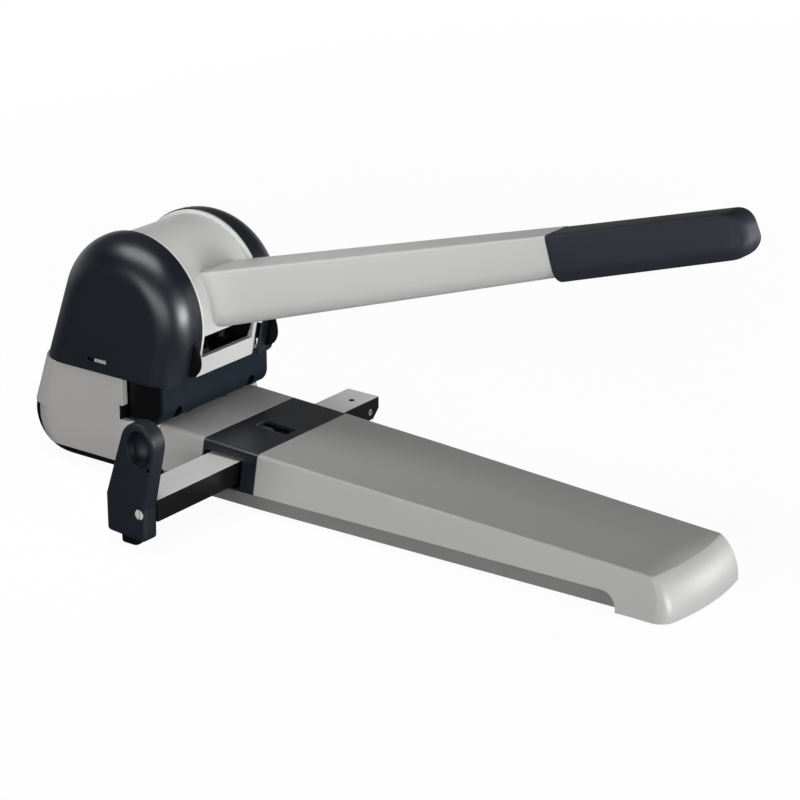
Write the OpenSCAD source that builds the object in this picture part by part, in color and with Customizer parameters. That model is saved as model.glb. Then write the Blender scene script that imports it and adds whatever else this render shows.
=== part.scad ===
// Heavy duty two-hole desk punch with a long lever, a sliding side stop and a chip tray.
// Millimetres. The origin is on the table, below the middle of the two punch axes.
// +X is the right of a user at the nose, -Y points to the user, +Z is up. The lever is drawn lowered.

/* [Punching] */
// Distance between the two punch axes
hole_spacing = 80; // [76:1:90]
// Diameter of the punches
hole_d = 6; // [5:0.5:7]
// Distance from the punch axes to the paper stop
back_margin = 12; // [11:0.5:14]
// Height of the throat above the deck
throat_h = 31.7; // [30:0.1:36]
// How far the punch tip enters the die
punch_entry = 4.3; // [3:0.1:6]
// Angle that the lever lifts through
lever_lift = 65; // [45:1:66]

/* [Head] */
// Distance of the lever axis behind the punch axes
pivot_y = 20; // [19:0.5:24]
// Height of the lever axis above the deck
pivot_over_deck = 71.7; // [70:0.1:78]
// Radius of the round head
head_r = 58; // [57:0.5:64]
// Lean of the front of the head
front_lean = 12.1; // [8:0.1:14]
// Lean of the back of the head
back_lean = 20; // [16:0.5:22]
// Lean of the back of the rear housing
house_lean = 14.5; // [10:0.5:18]
// Wall of the dark side covers
cover_wall = 2.5; // [2:0.1:3]
// Radius of the rounded outer edge of the side covers
cover_r = 20; // [14:1:22]
// Room between a pinion and its side cover
cover_room = 8; // [7:0.5:12]
// Distance of the fins outside the punch axes
fin_offset = 2; // [0:0.5:6]
// Thickness of the fins
fin_t = 2.4; // [1.5:0.1:4]
// How far the fins stand out
fin_reach = 8.5; // [5:0.5:11]
// Height of the fins
fin_h = 27; // [18:1:30]
// Thickness of the side plates
plate_t = 2.5; // [2:0.1:4]
// Thickness of the back panel
panel_t = 1.8; // [1.2:0.1:1.9]

/* [Base] */
// Height of the deck
deck_z = 43.8; // [42:0.1:50]
// Width of the deck beyond the punch axes
deck_margin = 11.6; // [11:0.1:16]
// Distance from the punch axes to the nose
tongue_reach = 424; // [360:1:470]
// Fall of the tongue to the nose
tongue_slope = 2.11; // [1.5:0.01:2.4]
// How much each side of the tongue draws in
tongue_taper = 8.7; // [4:0.1:14]
// Angle by which the sides of the base spread
side_draft = 10.5; // [6:0.5:12]
// Wall of the silver base covers
base_wall = 3; // [2:0.1:3.5]
// Radius of the long top edges
edge_r = 4; // [3.6:0.1:6]
// Radius of the long top edges where they reach the nose
nose_edge_r = 6; // [4:0.5:9]
// Radius of the round front of the nose
nose_r = 17; // [12:0.5:20]
// Radius of the nose corners seen from above
nose_corner_r = 19; // [14:0.5:22]
// How far the foot of the nose stands forward of its round front
nose_lean = 0.5; // [0.5:0.5:6]
// Length of the foot under the nose
foot_l = 40; // [30:1:50]
// Wall of the rear housing
house_wall = 5.5; // [4:0.1:5.6]
// Radius of the rear corners of the housing
house_r = 24; // [14:1:26]
// Height of the black shoe
shoe_h = 12; // [10:0.1:14]
// Floor of the black shoe
shoe_floor = 3.2; // [2.5:0.1:4]
// Underside of the sill above the table
sill_low = 1.8; // [1.6:0.1:4]
// Thickness of the die plate
die_plate_t = 6; // [4:0.1:7]
// Thickness of the paper stop
stop_plate_t = 2.5; // [1.5:0.1:4]

/* [Lever] */
// Rise of the lever when it is lowered
lever_rest = 16.45; // [12:0.05:20]
// Distance from the lever axis to the front end of the silver arm
arm_end = 342; // [300:1:380]
// Width of the arm at the hub
arm_root_w = 39.4; // [34:0.2:44]
// Width of the arm at its front end
arm_end_w = 29; // [24:0.2:34]
// Height of the arm at the hub
arm_root_h = 41.5; // [36:0.5:44]
// Height of the arm at its front end
arm_end_h = 28.8; // [24:0.2:34]
// Length of the grip
grip_l = 141; // [130:1:180]
// Width of the grip
grip_w = 30; // [27:0.5:36]
// Height of the grip
grip_h = 32; // [28:0.5:38]
// Radius of the tang in the grip
tang_r = 9; // [7:0.5:11]
// Length of the tang
tang_l = 112; // [90:1:115]
// Wall of the hub shell
hub_t = 5; // [4:0.5:6]
// Thickness of the hub webs
web_t = 3; // [2:0.5:4]
// Radius of the hub boss
boss_r = 16; // [14:0.5:17]
// Radius of the lever axle
axle_r = 9; // [7:0.5:9.5]

/* [Drive] */
// Tooth module of racks and pinions
tooth_m = 2; // [1.6:0.1:2.2]
// Pitch radius of the pinions
pitch_r = 30; // [28:1:31]
// Width of the pinions
pinion_w = 6.6; // [5:0.2:8]
// Width of a ram
ram_w = 11; // [10.5:0.5:13]
// Depth of a ram block
ram_depth = 12; // [11:0.5:12.5]
// Thickness of the rack behind its teeth
spine_t = 2.7; // [2:0.1:3.5]
// Radius of the punch heads
punch_head_r = 4.2; // [4:0.1:4.6]

/* [Hold-down] */
// Lift of the hold-down
paper_lift = 27; // [18:1:28]
// Wall of the hold-down
hold_wall = 2.3; // [1.8:0.1:2.4]
// Height of the front wall of the hold-down
hold_h = 27.6; // [20:0.2:28]
// Radius of the lead-in lip
lip_r = 16; // [13:0.5:18]
// Width of the sight slits
slit_w = 5; // [3:0.5:7]
// Radius of the guide posts
post_r = 4; // [3:0.5:4.5]
// Distance of the guide posts from the middle
post_x = 20; // [16:0.5:20]
// Wire radius of the hold-down springs
wire_r = 0.8; // [0.5:0.1:1]
// Number of turns of a hold-down spring
spring_turns = 7.5; // [5:0.5:9]

/* [Side stop] */
// Distance from the middle to the inner face of the end stop
stop_x = 137.2; // [115:0.1:160]
// Length of the guide bar
bar_l = 245; // [215:1:270]
// Width of the guide bar
bar_w = 28; // [22:0.5:30]
// Height of the guide bar
bar_h = 15.5; // [12:0.5:17]
// Sheet thickness of the guide bar
bar_t = 2; // [1.2:0.1:2.5]
// Distance of the guide bar in front of the punch axes
bar_y = 70; // [67:0.5:76]
// Depth of the top of the bar below the cover
bar_drop = 9.2; // [8:0.1:10]
// Length of the dark slot cover
slot_cover_l = 47.3; // [42:0.1:56]
// Distance of the slot cover in front of the punch axes
slot_cover_y = 51.8; // [46:0.1:52]
// Thickness of the end stop
stop_t = 12.5; // [9:0.5:16]
// Radius of the round top of the end stop
stop_r = 14.5; // [12:0.5:17]
// Height of the middle of the round top
stop_top_z = 74.5; // [66:0.5:84]

/* [Chip tray] */
// Wall of the chip tray
tray_wall = 2; // [1.5:0.1:3]
// How far the tray face stands behind the housing
tray_proud = 0.5; // [0:0.5:5]
// Height of the top of the tray face
tray_top = 38.5; // [36:0.5:41]
// Radius of the lower edge of the tray face
tray_r = 26; // [20:1:27]

/* [Fits] */
// Gap between covers
seam = 0.15; // [0.1:0.05:0.4]
// Gap between moving pieces
run_gap = 0.4; // [0.3:0.05:0.6]
// Radial clearance of sliding and turning fits
fit = 0.05; // [0.03:0.01:0.09]
// Radial clearance of pressed and screwed fits
seat = 0.02; // [0.01:0.01:0.05]

/* [Hidden] */
$fn = 64;
form_fn = 32;
far = 600;
eps = 0.02;
slice = 1;

// Colours as the object shows them
silver = "#b4b5b3";
dark = "#242b36";
black = "#17181b";
steel = "#c9cacc";
bright = "#dcdde0";
brass = "#b48a4a";

// Stack across the head, from the middle outwards
punch_x = hole_spacing / 2;
punch_r = hole_d / 2;
ram_in = punch_x - ram_w / 2;
ram_out = punch_x + ram_w / 2;
plate_out = ram_in - run_gap;
plate_in = plate_out - plate_t;
hub_half = plate_in - run_gap;
pinion_in = ram_out + run_gap;
pinion_out = pinion_in + pinion_w;
ring_t = 1.6;
axle_half = pinion_out + ring_t + 1.4;
cover_half = pinion_out + cover_room + cover_wall;
cover_flat_x = cover_half - cover_r;
house_half = cover_half - 1;

// Heights
pivot_z = deck_z + pivot_over_deck;
cover_low = deck_z + throat_h;
die_top = deck_z - base_wall - eps;
die_low = die_top - die_plate_t;

// Head profile: the front and the back are straight lines that touch a circle about the lever axis
function front_y(r, z) = pivot_y - (r + (z - pivot_z) * sin(front_lean)) / cos(front_lean);
function back_y(r, z) = pivot_y + (r - (z - pivot_z) * sin(back_lean)) / cos(back_lean);
function house_back(z) = back_y(head_r, cover_low) + (cover_low - z) * tan(house_lean);
function turn(r, a) = [r * cos(a), r * sin(a)];

// Base profile: a flat deck, then a tongue that falls and draws in towards the nose
deck_flat_y = -19;
slot_front_y = -slot_cover_y - slot_cover_l;
nose_top_y = -tongue_reach + nose_lean + nose_r;
form_back_y = 40;
nose_bow = 1;
nose_foot_h = 5;
foot_z = 1;
sill_top = shoe_h + 0.6;
skirt_z = sill_top + run_gap;
function deck_top(y) = deck_z + min(0, y - deck_flat_y) * tan(tongue_slope);
taper_y = slot_front_y + 3 * edge_r;
function deck_half(y) = punch_x + deck_margin
    + min(0, y - taper_y) / (taper_y + tongue_reach) * tongue_taper;
function side_half(y, z) = deck_half(y) + (deck_top(y) - z) * tan(side_draft);
function nose_flat(low) = side_half(nose_top_y, low) - nose_corner_r;
nose_edge_x = deck_half(nose_top_y) - nose_edge_r;
nose_round_x = nose_edge_x - 3;

// Drive: the racks stand in front of the pinions
rack_y = pivot_y - pitch_r;
tooth_root = 1.25 * tooth_m;
tooth_pitch = PI * tooth_m;
pressure = 20;
backlash = 0.4;
function rack_half(h) = tooth_pitch / 4 - backlash / 4 - h * tan(pressure);
spine_y = rack_y - tooth_root;
spine_front = spine_y - spine_t;
ram_low = deck_z + 10.4;
ram_top = ram_low + 32;
rack_top = pivot_z + rack_half(-tooth_root) + 0.2;
stroke = pitch_r * lever_lift * PI / 180;
rack_teeth = ceil(stroke / tooth_pitch) + 1;

// Hold-down
hold_front = spine_front - 3.3 - hold_wall;
hold_back = back_margin - 0.6;
hold_low = deck_z + 0.6;
hold_plate_t = 3;
hold_half = pinion_out + 0.7 + hold_wall;
lip_half = hold_half + 1.6;
post_y = -8;
post_top = pivot_z - 11.5;
post_boss_h = 14;
bush_rise = 4;
post_bush_r = post_r + 1.8;
nut_h = 2.6;
spring_r = post_r + fit + wire_r + 0.9;

// Guide bar and end stop
bar_top = deck_top(-bar_y) - bar_drop;
bar_low = bar_top - bar_h;
bar_far = bar_l - stop_x;
rail_half = punch_x + 9;
stop_back_y = -bar_y + bar_w / 2 + 6.5;
stop_front_y = -bar_y - bar_w / 2 + 1.5;
stop_low = 7;
stop_top_y = -bar_y - 8.5;
stop_mid = -stop_x - stop_t / 2;

// Chip tray
tray_half = punch_x + 10;
tray_front_y = -9;
tray_low = shoe_floor + 0.3;
tray_rim = die_low - 3;

// Shapes along the X axis
module x_cyl(r, x0, x1) {
    translate([x0, 0, 0]) rotate([0, 90, 0]) cylinder(r = r, h = x1 - x0);
}
module x_prism(x0, x1, points) {
    translate([x0, 0, 0]) rotate([90, 0, 90]) linear_extrude(x1 - x0) polygon(points);
}
module block(x0, x1, y0, y1, z0, z1) {
    translate([x0, y0, z0]) cube([x1 - x0, y1 - y0, z1 - z0]);
}
module slab(half, y0, y1, z0, z1) {
    block(-half, half, y0, y1, z0, z1);
}
module rod(x, y, z0, z1, r) {
    translate([x, y, z0]) cylinder(r = r, h = z1 - z0);
}
module dot(x, y, z) {
    translate([x, y, z]) cube(eps, center = true);
}
module pair() {
    children();
    mirror([1, 0, 0]) children();
}
module left() {
    mirror([1, 0, 0]) children();
}
module at_pivot() {
    translate([0, pivot_y, pivot_z]) children();
}
// Frame of the lever: the arm points along -Y, with its middle line through the axis
module lever_frame() {
    at_pivot() rotate([-lever_rest, 0, 0]) children();
}

// Base covers: one rounded form, drawn in by d on every side and closed at height low
module base_form(d, low) {
    hull() {
        for (s = [-1, 1]) {
            for (y = [form_back_y, deck_flat_y, taper_y]) {
                translate([s * (deck_half(y) - edge_r), y, deck_top(y) - edge_r])
                    sphere(edge_r - d, $fn = form_fn);
                dot(s * (side_half(y, low) - d), y, low);
            }
            translate([s * nose_edge_x, nose_top_y, deck_top(nose_top_y) - nose_edge_r])
                sphere(nose_edge_r - d, $fn = form_fn);
            translate([s * nose_flat(low), -tongue_reach + nose_corner_r + nose_bow, low])
                cylinder(r = nose_corner_r - d, h = nose_foot_h, $fn = form_fn);
        }
        translate([0, nose_top_y, deck_top(nose_top_y) - nose_r])
            x_prism(-nose_round_x, nose_round_x, [for (a = [90:7.5:180]) turn(nose_r - d, a)]);
        translate([0, -tongue_reach + d, low]) linear_extrude(nose_foot_h)
            polygon(concat([for (t = [-0.8:0.2:0.8]) [t * nose_flat(low), nose_bow * t * t]],
                [[0, 2 * nose_bow]]));
    }
}
module base_shell() {
    difference() {
        base_form(0, foot_z);
        base_form(base_wall, foot_z - 3);
    }
}
boss_ys = [slot_front_y - 40, -tongue_reach + foot_l + 30];
pan_floor = 2;
screw_r = 2;

module tongue_cover() {
    step_y = -tongue_reach + foot_l;
    step = skirt_z - foot_z;
    color(silver) {
        difference() {
            base_shell();
            slab(far, slot_front_y - seam, far, -far, far);
            x_prism(-far, far, [[step_y + 2, skirt_z], [step_y - 3, skirt_z - step / 4],
                [step_y - 6, skirt_z - step * 2 / 3], [step_y - 7, -far], [far, -far], [far, skirt_z]]);
        }
        for (y = boss_ys)
            difference() {
                rod(0, y, sill_low + pan_floor, deck_top(y) - base_wall / 2, 5);
                rod(0, y, 0, sill_low + pan_floor + 8, screw_r + seat);
            }
    }
}
slot_half_w = bar_w / 2 + 3;
window_half = [6, 14];
window_at = [-4, -bar_y - 8];
module slot_cover() {
    color(dark) difference() {
        intersection() {
            base_shell();
            slab(far, slot_front_y + seam, -slot_cover_y - seam, skirt_z, far);
        }
        slab(far, -bar_y - slot_half_w, -bar_y + slot_half_w, skirt_z + 1.5, bar_top + 2.5);
        translate([window_at[0], window_at[1], bar_top]) linear_extrude(far)
            square(2 * window_half, center = true);
    }
}
module pointer() {
    half = 3;
    back = window_half[1] + 3;
    neck = window_half[1] - 8;
    tip = neck - 4;
    under = deck_top(window_at[1] + window_half[1]) - base_wall;
    color(bright) translate([window_at[0], window_at[1], under - 1]) linear_extrude(0.8)
        polygon([[-half, back], [half, back], [half, neck], [0, tip], [-half, neck]]);
}
deck_back = back_margin + stop_plate_t;
die_r = punch_r + 4;
module deck() {
    color(silver) difference() {
        intersection() {
            base_shell();
            slab(far, -slot_cover_y + seam, deck_back, skirt_z, far);
        }
        pair() {
            rod(punch_x, 0, 0, far, die_r + seat);
            rod(post_x, post_y, 0, far, post_r + run_gap);
        }
    }
}
pan_post = [punch_x - 8, -34];
module base_pan() {
    back = -15.8;
    front = -tongue_reach + foot_l - 12;
    inset = base_wall + 1.5 * run_gap;
    half_b = side_half(back, sill_top) - inset;
    half_m = side_half(slot_front_y, sill_top) - inset;
    half_f = side_half(front, sill_top) - inset;
    lip = 2;
    color(silver) difference() {
        union() {
            difference() {
                translate([0, 0, sill_low]) linear_extrude(sill_top - sill_low)
                    polygon([[-half_b, back], [half_b, back], [half_m, slot_front_y],
                        [half_f, front], [-half_f, front], [-half_m, slot_front_y]]);
                translate([0, 0, sill_low + pan_floor]) linear_extrude(far)
                    polygon([[lip - half_b, back - lip], [half_b - lip, back - lip],
                        [half_m - lip, slot_front_y], [half_f - lip, front + lip],
                        [lip - half_f, front + lip], [lip - half_m, slot_front_y]]);
            }
            pair() rod(pan_post[0], pan_post[1], sill_low, die_low, 6);
            slab(nose_flat(sill_low), nose_top_y - 2, front + 1, sill_low, sill_low + pan_floor);
        }
        pair() rod(pan_post[0], pan_post[1], 0, far, screw_r + seat);
        for (y = boss_ys) rod(0, y, 0, far, screw_r + seat);
    }
}
module pan_screws() {
    head_h = 1.2;
    color(steel) for (y = boss_ys) {
        rod(0, y, sill_low - head_h, sill_low, 3.6);
        rod(0, y, sill_low, sill_low + pan_floor + 7, screw_r);
    }
    color(steel) pair() {
        rod(pan_post[0], pan_post[1], sill_low - head_h, sill_low, 3.6);
        rod(pan_post[0], pan_post[1], sill_low, die_low + 3, screw_r);
    }
}
module nose_pads() {
    pad_r = 7;
    x = nose_flat(sill_low) - pad_r - 1;
    color(black) pair() rod(x, nose_top_y + pad_r, 0, sill_low, pad_r);
}

// Rear housing: leaning back wall, rounded corners, front arms that hold the deck between them
arm_y = -13;
arm_top_half = side_half(arm_y, deck_z) + 3;
arm_low_half = side_half(arm_y, shoe_h) + 3;
module housing_form(d, grow) {
    hull() {
        for (s = [-1, 1]) {
            translate([s * (house_half - house_r), house_back(cover_low) - house_r, cover_low + grow - slice])
                cylinder(r = house_r - d, h = slice - eps, $fn = form_fn);
            translate([s * (house_half - house_r), house_back(shoe_h + house_r) - house_r, shoe_h + house_r])
                sphere(house_r - d, $fn = form_fn);
            for (z = [shoe_h + d + eps, cover_low + grow - eps])
                dot(s * (house_half - d), back_margin + 1, z);
            dot(s * (arm_top_half - d), arm_y - grow, deck_z + grow);
            dot(s * (arm_low_half - d), arm_y - grow, shoe_h + d + eps);
        }
    }
}
ledge_y = [deck_back + 8, house_back(cover_low) - house_wall - house_r];
ledge_h = 6;
module rear_housing() {
    color(silver) {
        difference() {
            housing_form(0, 0);
            housing_form(house_wall, 1);
            base_form(-seam, foot_z);
            slab(far, -far, back_margin + 1, deck_z + 0.4, far);
            slab(tray_half + run_gap, -far, far, -far, tray_top + run_gap);
        }
        pair() block(tray_half + run_gap, house_half - house_wall / 2,
            ledge_y[0], ledge_y[1], die_low - ledge_h, die_low);
    }
}
module base_shoe() {
    back = house_back(shoe_h + house_r) - house_r;
    low_half = arm_low_half - 8;
    color(black) difference() {
        hull() {
            for (s = [-1, 1]) {
                translate([s * (house_half - house_r), back - house_r / 2, shoe_h - slice])
                    cylinder(r = house_r - 0.8, h = slice, $fn = form_fn);
                translate([s * (low_half - 12), back - 16, 0]) cylinder(r = 12, h = slice, $fn = form_fn);
                dot(s * (arm_low_half - 1), arm_y - 2, shoe_h - eps / 2);
                dot(s * low_half, arm_y - 2, eps / 2);
            }
        }
        slab(tray_half + run_gap, tray_front_y - run_gap, far, shoe_floor, far);
    }
}
plate_screw_ys = [ledge_y[0] + 5, ledge_y[1] - 5];
plate_screw_x = tray_half + run_gap + 2.8;
wing_half = house_half - house_wall - run_gap;
die_plate_half = deck_half(0) - base_wall - 1;
die_plate_front = pan_post[1] - 8;
module die_plate() {
    color(steel) difference() {
        union() {
            slab(die_plate_half, deck_flat_y, deck_back + 2, die_low, die_top);
            slab(die_plate_half, die_plate_front, deck_flat_y,
                die_low, deck_top(die_plate_front) - base_wall);
            slab(wing_half, deck_back, ledge_y[1], die_low, die_top);
        }
        pair() {
            rod(punch_x, 0, 0, far, die_r + seat);
            rod(post_x, post_y, die_low + 2, far, post_r + seat);
            for (y = plate_screw_ys) rod(plate_screw_x, y, 0, far, screw_r + seat);
            rod(pan_post[0], pan_post[1], 0, die_low + 3.5, screw_r + seat);
        }
    }
}
module plate_screws() {
    color(steel) pair() for (y = plate_screw_ys) {
        rod(plate_screw_x, y, die_top, die_top + 2.4, 3);
        rod(plate_screw_x, y, die_low, die_top, screw_r);
    }
}
module die() {
    color(bright) difference() {
        rod(punch_x, 0, die_low, deck_z, die_r);
        rod(punch_x, 0, 0, far, punch_r + fit);
        rod(punch_x, 0, 0, deck_z - punch_entry - 1, punch_r + 1);
    }
}
module die_left() { left() die(); }
module die_right() { die(); }

// Side plates carry the axle; a notch leaves the throat and the path of the hold-down free
bush_r = axle_r + 2.5;
leg_front = deck_back + 0.3;
leg_back = house_back(cover_low) - house_wall - 1;
module back_wedge(r, x0, x1, low) {
    t = turn(r, back_lean);
    x_prism(x0, x1, [[0, 0], t, [back_y(r, low) - pivot_y, low - pivot_z], [0, low - pivot_z]]);
}
module side_plate() {
    color(silver) difference() {
        union() {
            at_pivot() x_cyl(head_r, plate_in, plate_out);
            at_pivot() back_wedge(head_r, plate_in, plate_out, cover_low + 0.3);
            block(plate_in, plate_out, leg_front, leg_back, die_top, cover_low + 5);
        }
        block(0, far, -far, leg_front, -far, hold_low + lip_r / 2 + paper_lift + 1.5);
        block(0, far, -far, spine_front + 0.5, -far, hold_low + hold_h + paper_lift + 1.5);
        at_pivot() x_cyl(bush_r + seat, 0, far);
    }
}
module side_plate_left() { left() side_plate(); }
module side_plate_right() { side_plate(); }
module axle_bushes() {
    color(brass) pair() at_pivot() difference() {
        union() {
            x_cyl(bush_r, plate_in, plate_out);
            x_cyl(bush_r + 1, plate_out, plate_out + 1.8);
        }
        x_cyl(axle_r + fit, 0, far);
    }
}
rod_r = 4.5;
rod_spots = [[pivot_y + 26, deck_z + rod_r + 0.5], [leg_back - 12, deck_z + 3 * rod_r + 0.5]];
module tie_rods() {
    color(steel) for (p = rod_spots) translate([0, p[0], p[1]]) x_cyl(rod_r, -plate_in, plate_in);
}
module paper_stop() {
    color(steel) slab(plate_in - 0.2, back_margin, deck_back, deck_z, cover_low - 3);
}
panel_top = 42;
module back_panel() {
    half = plate_in;
    color(silver) difference() {
        at_pivot() union() {
            x_cyl(head_r, -half, half);
            back_wedge(head_r, -half, half, cover_low + 0.3);
        }
        at_pivot() union() {
            x_cyl(head_r - panel_t, -far, far);
            back_wedge(head_r - panel_t, -far, far, -far);
            x_prism(-far, far, [[0, 0], turn(far, panel_top), [-far, far], [-far, -far], [0, -far]]);
        }
        slab(far, -far, far, -far, cover_low + 0.3);
    }
}

// Side covers: a round form whose outer edge is rounded, drawn in by d and open towards the plate
module cover_form(d, x0) {
    low = cover_low - cover_r;
    hull() {
        at_pivot() {
            x_cyl(head_r - d, x0, cover_flat_x);
            translate([cover_flat_x, 0, 0]) rotate([0, 90, 0]) rotate_extrude($fn = 48)
                translate([head_r - cover_r, 0]) circle(cover_r - d, $fn = form_fn);
        }
        for (y = [front_y(head_r - cover_r, low), back_y(head_r - cover_r, low)])
            translate([0, y, low]) {
                x_cyl(cover_r - d, x0, cover_flat_x);
                translate([cover_flat_x, 0, 0]) sphere(cover_r - d, $fn = form_fn);
            }
    }
}
fin_low = cover_low + 5;
function fin_y(t) = front_y(head_r - cover_wall / 2, fin_low + t * fin_h);
function fin_out(t) = fin_reach * pow(sin(180 * pow(t, 0.65)), 0.8);
module side_cover() {
    steps = 12;
    snap_y = pivot_y + 15;
    snap_z = cover_low + 7.5;
    color(dark) {
        difference() {
            cover_form(0, plate_out);
            cover_form(cover_wall, plate_out - 1);
            slab(far, -far, far, -far, cover_low);
            block(-far, plate_out, -far, far, -far, far);
            block(cover_half - cover_wall - 1, far, snap_y - 9, snap_y + 9, snap_z, snap_z + 3);
        }
        x_prism(punch_x + fin_offset - fin_t / 2, punch_x + fin_offset + fin_t / 2,
            concat([[fin_y(1), fin_low + fin_h], [fin_y(0), fin_low]],
                [for (i = [1:steps - 1]) let(t = i / steps) [fin_y(t) - fin_out(t), fin_low + t * fin_h]]));
    }
}
module side_cover_left() { left() side_cover(); }
module side_cover_right() { side_cover(); }

// Guide posts of the hold-down with their springs
module guide_posts() {
    color(bright) pair() rod(post_x, post_y, die_low + 2, post_top + nut_h, post_r);
}
module post_nuts() {
    color(steel) pair() difference() {
        rod(post_x, post_y, post_top, post_top + nut_h, post_r + 3);
        rod(post_x, post_y, 0, far, post_r + seat);
    }
}
spring_low = hold_low + post_boss_h + wire_r + 0.2;
spring_high = post_top - wire_r - 0.2;
spring_rings = 8;
spring_sides = 6;
spring_pitch = (spring_high - spring_low) / spring_turns;
function spring_mid(i) = let(a = 360 * i / spring_rings)
    [spring_r * cos(a), spring_r * sin(a), spring_low + spring_pitch * i / spring_rings];
function spring_point(i, j) = let(a = 360 * i / spring_rings, b = 360 * j / spring_sides, c = spring_mid(i))
    [c[0] + wire_r * cos(b) * cos(a), c[1] + wire_r * cos(b) * sin(a), c[2] + wire_r * sin(b)];
spring_count = floor(spring_turns * spring_rings);
spring_gap = min([for (i = [0:spring_count - spring_rings])
    norm(spring_mid(i + spring_rings) - spring_mid(i))]) - 2 * wire_r;
echo(least_spring_gap = spring_gap);
module spring() {
    points = [for (i = [0:spring_count]) for (j = [0:spring_sides - 1]) spring_point(i, j)];
    sides = [for (i = [0:spring_count - 1]) for (j = [0:spring_sides - 1])
        let(a = i * spring_sides + j, b = i * spring_sides + (j + 1) % spring_sides)
        each [[a, b, b + spring_sides], [a, b + spring_sides, a + spring_sides]]];
    last = spring_count * spring_sides;
    ends = [for (j = [1:spring_sides - 2]) each [[0, j + 1, j], [last, last + j, last + j + 1]]];
    color(steel) translate([post_x, post_y, 0]) polyhedron(points, concat(sides, ends));
}
module spring_left() { left() spring(); }
module spring_right() { spring(); }

// Rams: a block with the punch, and a toothed spine in front of the pinion
module ram() {
    color(steel) difference() {
        union() {
            block(ram_in, pinion_out, spine_front, spine_y, ram_low, rack_top);
            block(ram_in, ram_out, spine_y - 1, ram_depth / 2, ram_low, ram_top);
            for (k = [0:rack_teeth - 1]) translate([0, rack_y, pivot_z - k * tooth_pitch])
                x_prism(pinion_in, pinion_out,
                    [[-tooth_root - 0.5, -rack_half(-tooth_root)], [tooth_m, -rack_half(tooth_m)],
                    [tooth_m, rack_half(tooth_m)], [-tooth_root - 0.5, rack_half(-tooth_root)]]);
        }
        rod(punch_x, 0, 0, far, punch_r + seat);
        rod(punch_x, 0, punch_seat_z, far, punch_head_r + seat);
    }
}
module ram_left() { left() ram(); }
module ram_right() { ram(); }
punch_seat_z = ram_top - 9;
punch_head_h = 3;
module punch() {
    color(bright) {
        rod(punch_x, 0, deck_z - punch_entry, punch_seat_z, punch_r);
        rod(punch_x, 0, punch_seat_z, punch_seat_z + punch_head_h, punch_head_r);
    }
}
module punch_left() { left() punch(); }
module punch_right() { punch(); }
module punch_plug() {
    color(black) difference() {
        rod(punch_x, 0, punch_seat_z + punch_head_h, ram_top - 1, punch_head_r);
        translate([punch_x, 0, ram_top - 3]) cylinder(r = 1.8, h = far, $fn = 6);
    }
}
module punch_plug_left() { left() punch_plug(); }
module punch_plug_right() { punch_plug(); }
guide_low = hold_low + hold_h + paper_lift + 2;
module rack_guide() {
    front = spine_front - run_gap;
    color(brass) difference() {
        block(plate_out, pinion_out + run_gap + 2, front - 3.5, spine_y - 0.4, guide_low, guide_low + 11);
        block(ram_in - run_gap, pinion_out + run_gap, front, far, 0, far);
    }
}
module rack_guide_left() { left() rack_guide(); }
module rack_guide_right() { rack_guide(); }

// Hold-down: an open box with a rounded lead-in lip, sight slits and bosses on the guide posts
module hold_down() {
    lip_y = hold_front + lip_r;
    lip_z = hold_low + lip_r;
    color(dark) difference() {
        union() {
            slab(hold_half, lip_y - 0.1, hold_back, hold_low, hold_low + hold_plate_t);
            slab(hold_half, hold_front, hold_front + hold_wall, lip_z - lip_r / 2, hold_low + hold_h);
            pair() block(hold_half - hold_wall, hold_half, hold_front + 0.1, hold_back,
                hold_low + lip_r / 3, hold_low + hold_h);
            pair() intersection() {
                rod(post_x, post_y, hold_low, hold_low + post_boss_h, post_bush_r + 2);
                union() {
                    translate([0, lip_y, lip_z]) x_cyl(lip_r - 0.5, -far, far);
                    slab(far, lip_y, far, -far, far);
                    slab(far, -far, far, lip_z - lip_r / 2, far);
                }
            }
            difference() {
                translate([0, lip_y, lip_z]) x_cyl(lip_r, -lip_half, lip_half);
                translate([0, lip_y, lip_z]) x_cyl(lip_r - hold_plate_t, -far, far);
                slab(far, lip_y, far, -far, far);
                slab(far, -far, far, lip_z, far);
            }
            pair() difference() {
                translate([0, lip_y, lip_z]) x_cyl(lip_r - 1, hold_half - hold_wall, hold_half);
                slab(far, lip_y + lip_r / 2, far, -far, far);
                slab(far, -far, far, lip_z, far);
            }
        }
        pair() {
            rod(punch_x, 0, 0, far, punch_r + 0.3);
            rod(post_x, post_y, hold_low + bush_rise, far, post_bush_r + seat);
            rod(post_x, post_y, 0, far, post_r + run_gap);
            block(punch_x - slit_w / 2, punch_x + slit_w / 2, -far, lip_y - lip_r / 3,
                0, hold_low + lip_r * 0.7);
        }
    }
}
module post_bushes() {
    color(brass) pair() difference() {
        rod(post_x, post_y, hold_low + bush_rise, hold_low + post_boss_h, post_bush_r);
        rod(post_x, post_y, 0, far, post_r + fit);
    }
}

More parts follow.
